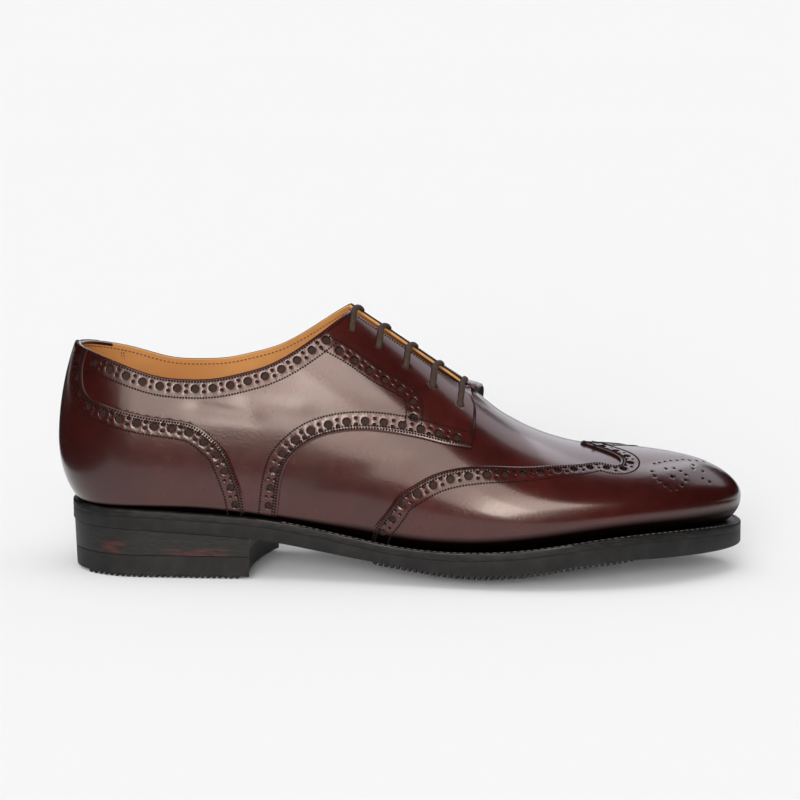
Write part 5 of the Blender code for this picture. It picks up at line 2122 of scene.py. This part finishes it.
@dataclass
class Lace:
    """Waxed cord in five straight bars, pressed a little flat, run through the eyelets."""

    last: Last
    finishes: Wardrobe
    cover_top: float
    half_width: float = 1.5
    half_height: float = 0.95
    clear: float = -0.55
    inside_lift: float = -3.3
    strands: int = 6
    strand_depth: float = 0.12
    twist_mm: float = 5.5
    corners: int = 24

    def build(self) -> None:
        """Builds the bars and the runs behind the facings, which end at the top eyelets."""
        piece = Piece("lace_dressed")
        eyelets = {side: self.last.side_view(EYELET_ROWS[side], side.value) for side in Side}
        ends = self.last.point(eyelets[Side.LATERAL][[0, -1]])
        for number in range(len(EYELETS)):
            self._tube(piece, self._bar(*(eyelets[side][number] for side in Side)), ends[1] - ends[0])
        hidden = ((Side.LATERAL, 4, 3), (Side.LATERAL, 2, 0), (Side.MEDIAL, 4, 2), (Side.MEDIAL, 3, 1))
        for side, start, end in hidden:
            path = self._inside_run(eyelets[side][start], eyelets[side][end])
            self._tube(piece, path, np.array((0.0, 1.0, 0.0)))
        made = piece.make([self.finishes.cord], "lace_cord", 60.0)
        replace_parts(made, *("lace_bar_%d" % (n + 1) for n in range(len(EYELETS))))

    def _half(self, eyelet: Array) -> list[Array]:
        """Half a bar: up out of the eyelet, over the facing and past its edge.

        Args:
            eyelet: place of the eyelet.

        Returns:
            Points of its middle.
        """
        last, side = self.last, eyelet[2]
        mouth = float(last.mouth(eyelet[0], side))
        over = self.cover_top + self.half_height + self.clear
        shares = eyelet[1] + (mouth - eyelet[1]) * np.array([0.0, 0.0, 0.0, 0.16, 0.34, 0.55, 0.8, 1.0])
        lifts = (self.inside_lift, -0.6, 0.9, over - 0.35, over, over, over, over - 0.3)
        return [last.skin(stacked(eyelet[0], s, side), lift) for s, lift in zip(shares, lifts)]

    def _bar(self, lateral: Array, medial: Array) -> Array:
        """Smooth path of one bar."""
        return self._smooth(np.array(self._half(lateral) + self._half(medial)[::-1]))

    def _inside_run(self, start: Array, end: Array) -> Array:
        """Path behind a facing from one eyelet to another."""
        places = start + (end - start) * np.linspace(0.0, 1.0, 9)[:, None]
        return self._smooth(self.last.skin(places, np.full(9, self.inside_lift)))

    @staticmethod
    def _smooth(points: Array) -> Array:
        """Even points on a smooth curve.

        Args:
            points: rows that it passes through.

        Returns:
            The even points.
        """
        knots = travelled(points)
        wanted = np.linspace(0.0, knots[-1], max(12, int(knots[-1] / 0.45)))
        return np.column_stack([Spline(knots, points[:, i])(wanted) for i in range(3)])

    def _tube(self, piece: Piece, path: Array, broad: Array) -> None:
        """Adds a twisted cord along a path.

        Args:
            piece: piece that takes it.
            path: points of its middle.
            broad: about the direction of its broad side.
        """
        along = unit(np.gradient(path, axis=0))
        first = unit(broad - np.sum(along * broad, axis=1, keepdims=True) * along)
        second = np.cross(along, first)
        angle = np.linspace(0.0, FULL_TURN, self.corners, endpoint=False)
        turn = FULL_TURN * travelled(path)[:, None] / self.twist_mm
        groove = self.strand_depth * (1.0 - np.abs(np.sin((angle * self.strands + turn) / 2.0)))
        wide = (self.half_width - groove) * np.cos(angle)
        high = (self.half_height - groove) * np.sin(angle)
        rings = path[:, None, :] + wide[..., None] * first[:, None, :] + high[..., None] * second[:, None, :]
        index = np.arange(len(path) * self.corners).reshape(len(path), self.corners)
        loop = np.concatenate([index, index[:, :1]], axis=1)
        faces = grid_faces(loop[:, ::-1])
        faces += [tuple(index[0]), tuple(index[-1][::-1])]
        piece.add(rings, faces)


@dataclass
class Studio:
    """Pale floor, soft light and a camera at the photograph's angle."""

    azimuth_deg: float = 3.0
    elevation_deg: float = 9.3
    distance: float = 1.5
    aim: tuple[float, float, float] = (-0.0007, 0.0, 0.0765)
    frame_width: float = 0.3636
    floor_radius: float = 14.0
    floor_color: Color = (0.71, 0.71, 0.715)
    dome: float = 0.40
    table: tuple[float, float, float] = (-0.27, 0.27, -0.24)
    card_depth: float = 1.30
    warm: Color = (1.0, 0.90, 0.82)
    cool: Color = (0.94, 0.93, 1.0)

    def build(self) -> None:
        """Makes the whole studio."""
        bpy.context.scene.view_settings.view_transform = "Standard"
        self.camera()
        self.cards()
        self.sky()
        front = (-2.4, 28.5, 1.6)
        self.softbox("front_low", front, (0.30, 0.81), (0.195, -0.425), -25.0, 13.5, self.warm)
        self.softbox("front_high", front, (0.30, 0.90), (0.22, 0.44), -25.0, 7.8, self.warm)
        self.softbox("front_wing", front, (0.49, 1.75), (-0.215, -0.03), -25.0, 3.0, self.warm)
        self.softbox("front_edge", front, (0.80, 1.50), (-0.83, 0.0), -25.0, 0.9, self.warm)
        self.softbox("back_softbox", (180.0, 30.0, 3.0), (1.9, 3.0), (0.0, 0.0), 0.0, 1.18, self.cool)
        self.softbox("side_panel", (146.0, 37.0, 2.5), (1.5, 0.90), (0.0, 0.0), 0.0, 1.1, self.cool)
        self.soft_sun("front_sun", (-8.0, 17.0), 60.0, 2.35)
        self.soft_sun("top_sun", (0.0, 84.0), 60.0, 1.28)
        self.soft_sun("floor_fill", (-4.0, 13.0), 24.0, 3.9, self.floor())

    @staticmethod
    def toward(azimuth_deg: float, elevation_deg: float) -> Vector:
        """Unit vector from the shoe; azimuth 0 is in front of its outer side, above 0 towards the toe."""
        a, e = math.radians(azimuth_deg), math.radians(elevation_deg)
        return Vector((math.sin(a) * math.cos(e), -math.cos(a) * math.cos(e), math.sin(e)))

    def camera(self) -> None:
        """Camera that frames the shoe as the photograph does."""
        data = bpy.data.cameras.new("camera")
        data.lens = data.sensor_width / (self.frame_width / self.distance)
        data.clip_end = 100.0
        camera = bpy.data.objects.new("camera", data)
        back = self.toward(self.azimuth_deg, self.elevation_deg)
        camera.location = Vector(self.aim) + back * self.distance
        camera.rotation_euler = (-back).to_track_quat("-Z", "Y").to_euler()
        bpy.context.scene.collection.objects.link(camera)
        bpy.context.scene.camera = camera

    def floor(self) -> bpy.types.Object:
        """Wide pale floor just under the sole.

        Returns:
            The floor.
        """
        made = Recipe("pale_floor")
        speck = made.noise(40.0, 4.0)
        tone = made.mix(speck * 0.02, self.floor_color, tuple(c * 0.97 for c in self.floor_color))
        made.finish(Base_Color=tone, Roughness=0.9, Specular_IOR_Level=0.0)
        angle = np.linspace(0.0, FULL_TURN, 64, endpoint=False)
        ring = [(self.floor_radius * math.cos(a), self.floor_radius * math.sin(a), -0.0003) for a in angle]
        mesh = bpy.data.meshes.new("floor")
        mesh.from_pydata(ring, [], [list(range(64))])
        mesh.materials.append(made.material)
        floor = bpy.data.objects.new("floor", mesh)
        bpy.context.scene.collection.objects.link(floor)
        return floor

    def cards(self) -> None:
        """Dark cards lying round the table, which only the leather's gloss shows."""
        left, right, front = self.table
        far = self.floor_radius
        made = Recipe("dark_card")
        made.finish(Base_Color=(0.004, 0.004, 0.004), Roughness=0.9)
        spans = {
            "front_card": (left, right, front - self.card_depth, front),
            "left_card": (-far, left, -far, 2.50),
            "right_card": (right, far, -far, 0.12),
        }
        for name, (x0, x1, y0, y1) in spans.items():
            mesh = bpy.data.meshes.new(name)
            corners = [(x0, y0), (x1, y0), (x1, y1), (x0, y1)]
            mesh.from_pydata([(x, y, 0.0002) for x, y in corners], [], [(0, 1, 2, 3)])
            mesh.materials.append(made.material)
            card = bpy.data.objects.new(name, mesh)
            card.visible_camera = False
            card.visible_diffuse = False
            card.visible_shadow = False
            bpy.context.scene.collection.objects.link(card)

    def sky(self) -> None:
        """Faint even light from all round, left out of the gloss."""
        world = bpy.data.worlds.new("studio_sky")
        world.use_nodes = True
        background = world.node_tree.nodes["Background"]
        background.inputs["Color"].default_value = (1.0, 1.0, 1.0, 1.0)
        background.inputs["Strength"].default_value = self.dome
        world.cycles_visibility.glossy = False
        bpy.context.scene.world = world

    def softbox(
        self, name: str, place: tuple[float, float, float], size: tuple[float, float],
        shift: tuple[float, float], roll: float, glow: float, tint: Color,
    ) -> None:
        """Large lamp that shows in the leather's gloss alone.

        Args:
            name: its name.
            place: azimuth and elevation in degrees, and distance.
            size: width and height.
            shift: how far it is moved right and up in its own plane.
            roll: turn of that plane about its axis in degrees.
            glow: brightness of its face, with the floor at about 0.9.
            tint: colour of its light.
        """
        data = bpy.data.lights.new(name, "AREA")
        data.shape = "RECTANGLE"
        data.size, data.size_y = size
        data.energy = glow * math.pi * size[0] * size[1]
        data.color = tint
        lamp = bpy.data.objects.new(name, data)
        way = self.toward(place[0], place[1])
        turn = way.to_track_quat("Z", "Y") @ Quaternion((0.0, 0.0, 1.0), math.radians(roll))
        lamp.location = Vector((0.0, 0.0, 0.06)) + way * place[2] + turn @ Vector((*shift, 0.0))
        lamp.rotation_euler = turn.to_euler()
        lamp.visible_diffuse = False
        bpy.context.scene.collection.objects.link(lamp)

    def soft_sun(
        self, name: str, way: tuple[float, float], spread: float, strength: float,
        only: bpy.types.Object | None = None,
    ) -> None:
        """Even, very soft light over shoe and floor, left out of the gloss.

        Args:
            name: its name.
            way: azimuth and elevation that it comes from, in degrees.
            spread: angle that it comes from, in degrees.
            strength: light on a face square to it.
            only: the one object that it lights, or None for all.
        """
        data = bpy.data.lights.new(name, "SUN")
        data.angle = math.radians(spread)
        data.energy = strength
        lamp = bpy.data.objects.new(name, data)
        lamp.rotation_euler = self.toward(*way).to_track_quat("Z", "Y").to_euler()
        lamp.visible_glossy = False
        bpy.context.scene.collection.objects.link(lamp)
        if only is not None:
            lamp.light_linking.receiver_collection = bpy.data.collections.new(name + "_lights")
            lamp.light_linking.receiver_collection.objects.link(only)


def main() -> None:
    """Builds the studio and the shoe around the frame."""
    logging.basicConfig(level=logging.INFO)
    for shape in list(bpy.data.objects):
        bpy.data.objects.remove(shape)
    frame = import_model()
    LOG.info("frame: %d solids", len(frame["nodes"]))
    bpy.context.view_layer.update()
    Studio().build()
    last = Last()
    finishes = Wardrobe()
    upper = Upper(last, UpperLines(last), finishes)
    upper.build()
    Sole(last, finishes).build()
    Lace(last, finishes, upper.quarter_top).build()


if __name__ == "__main__":
    main()
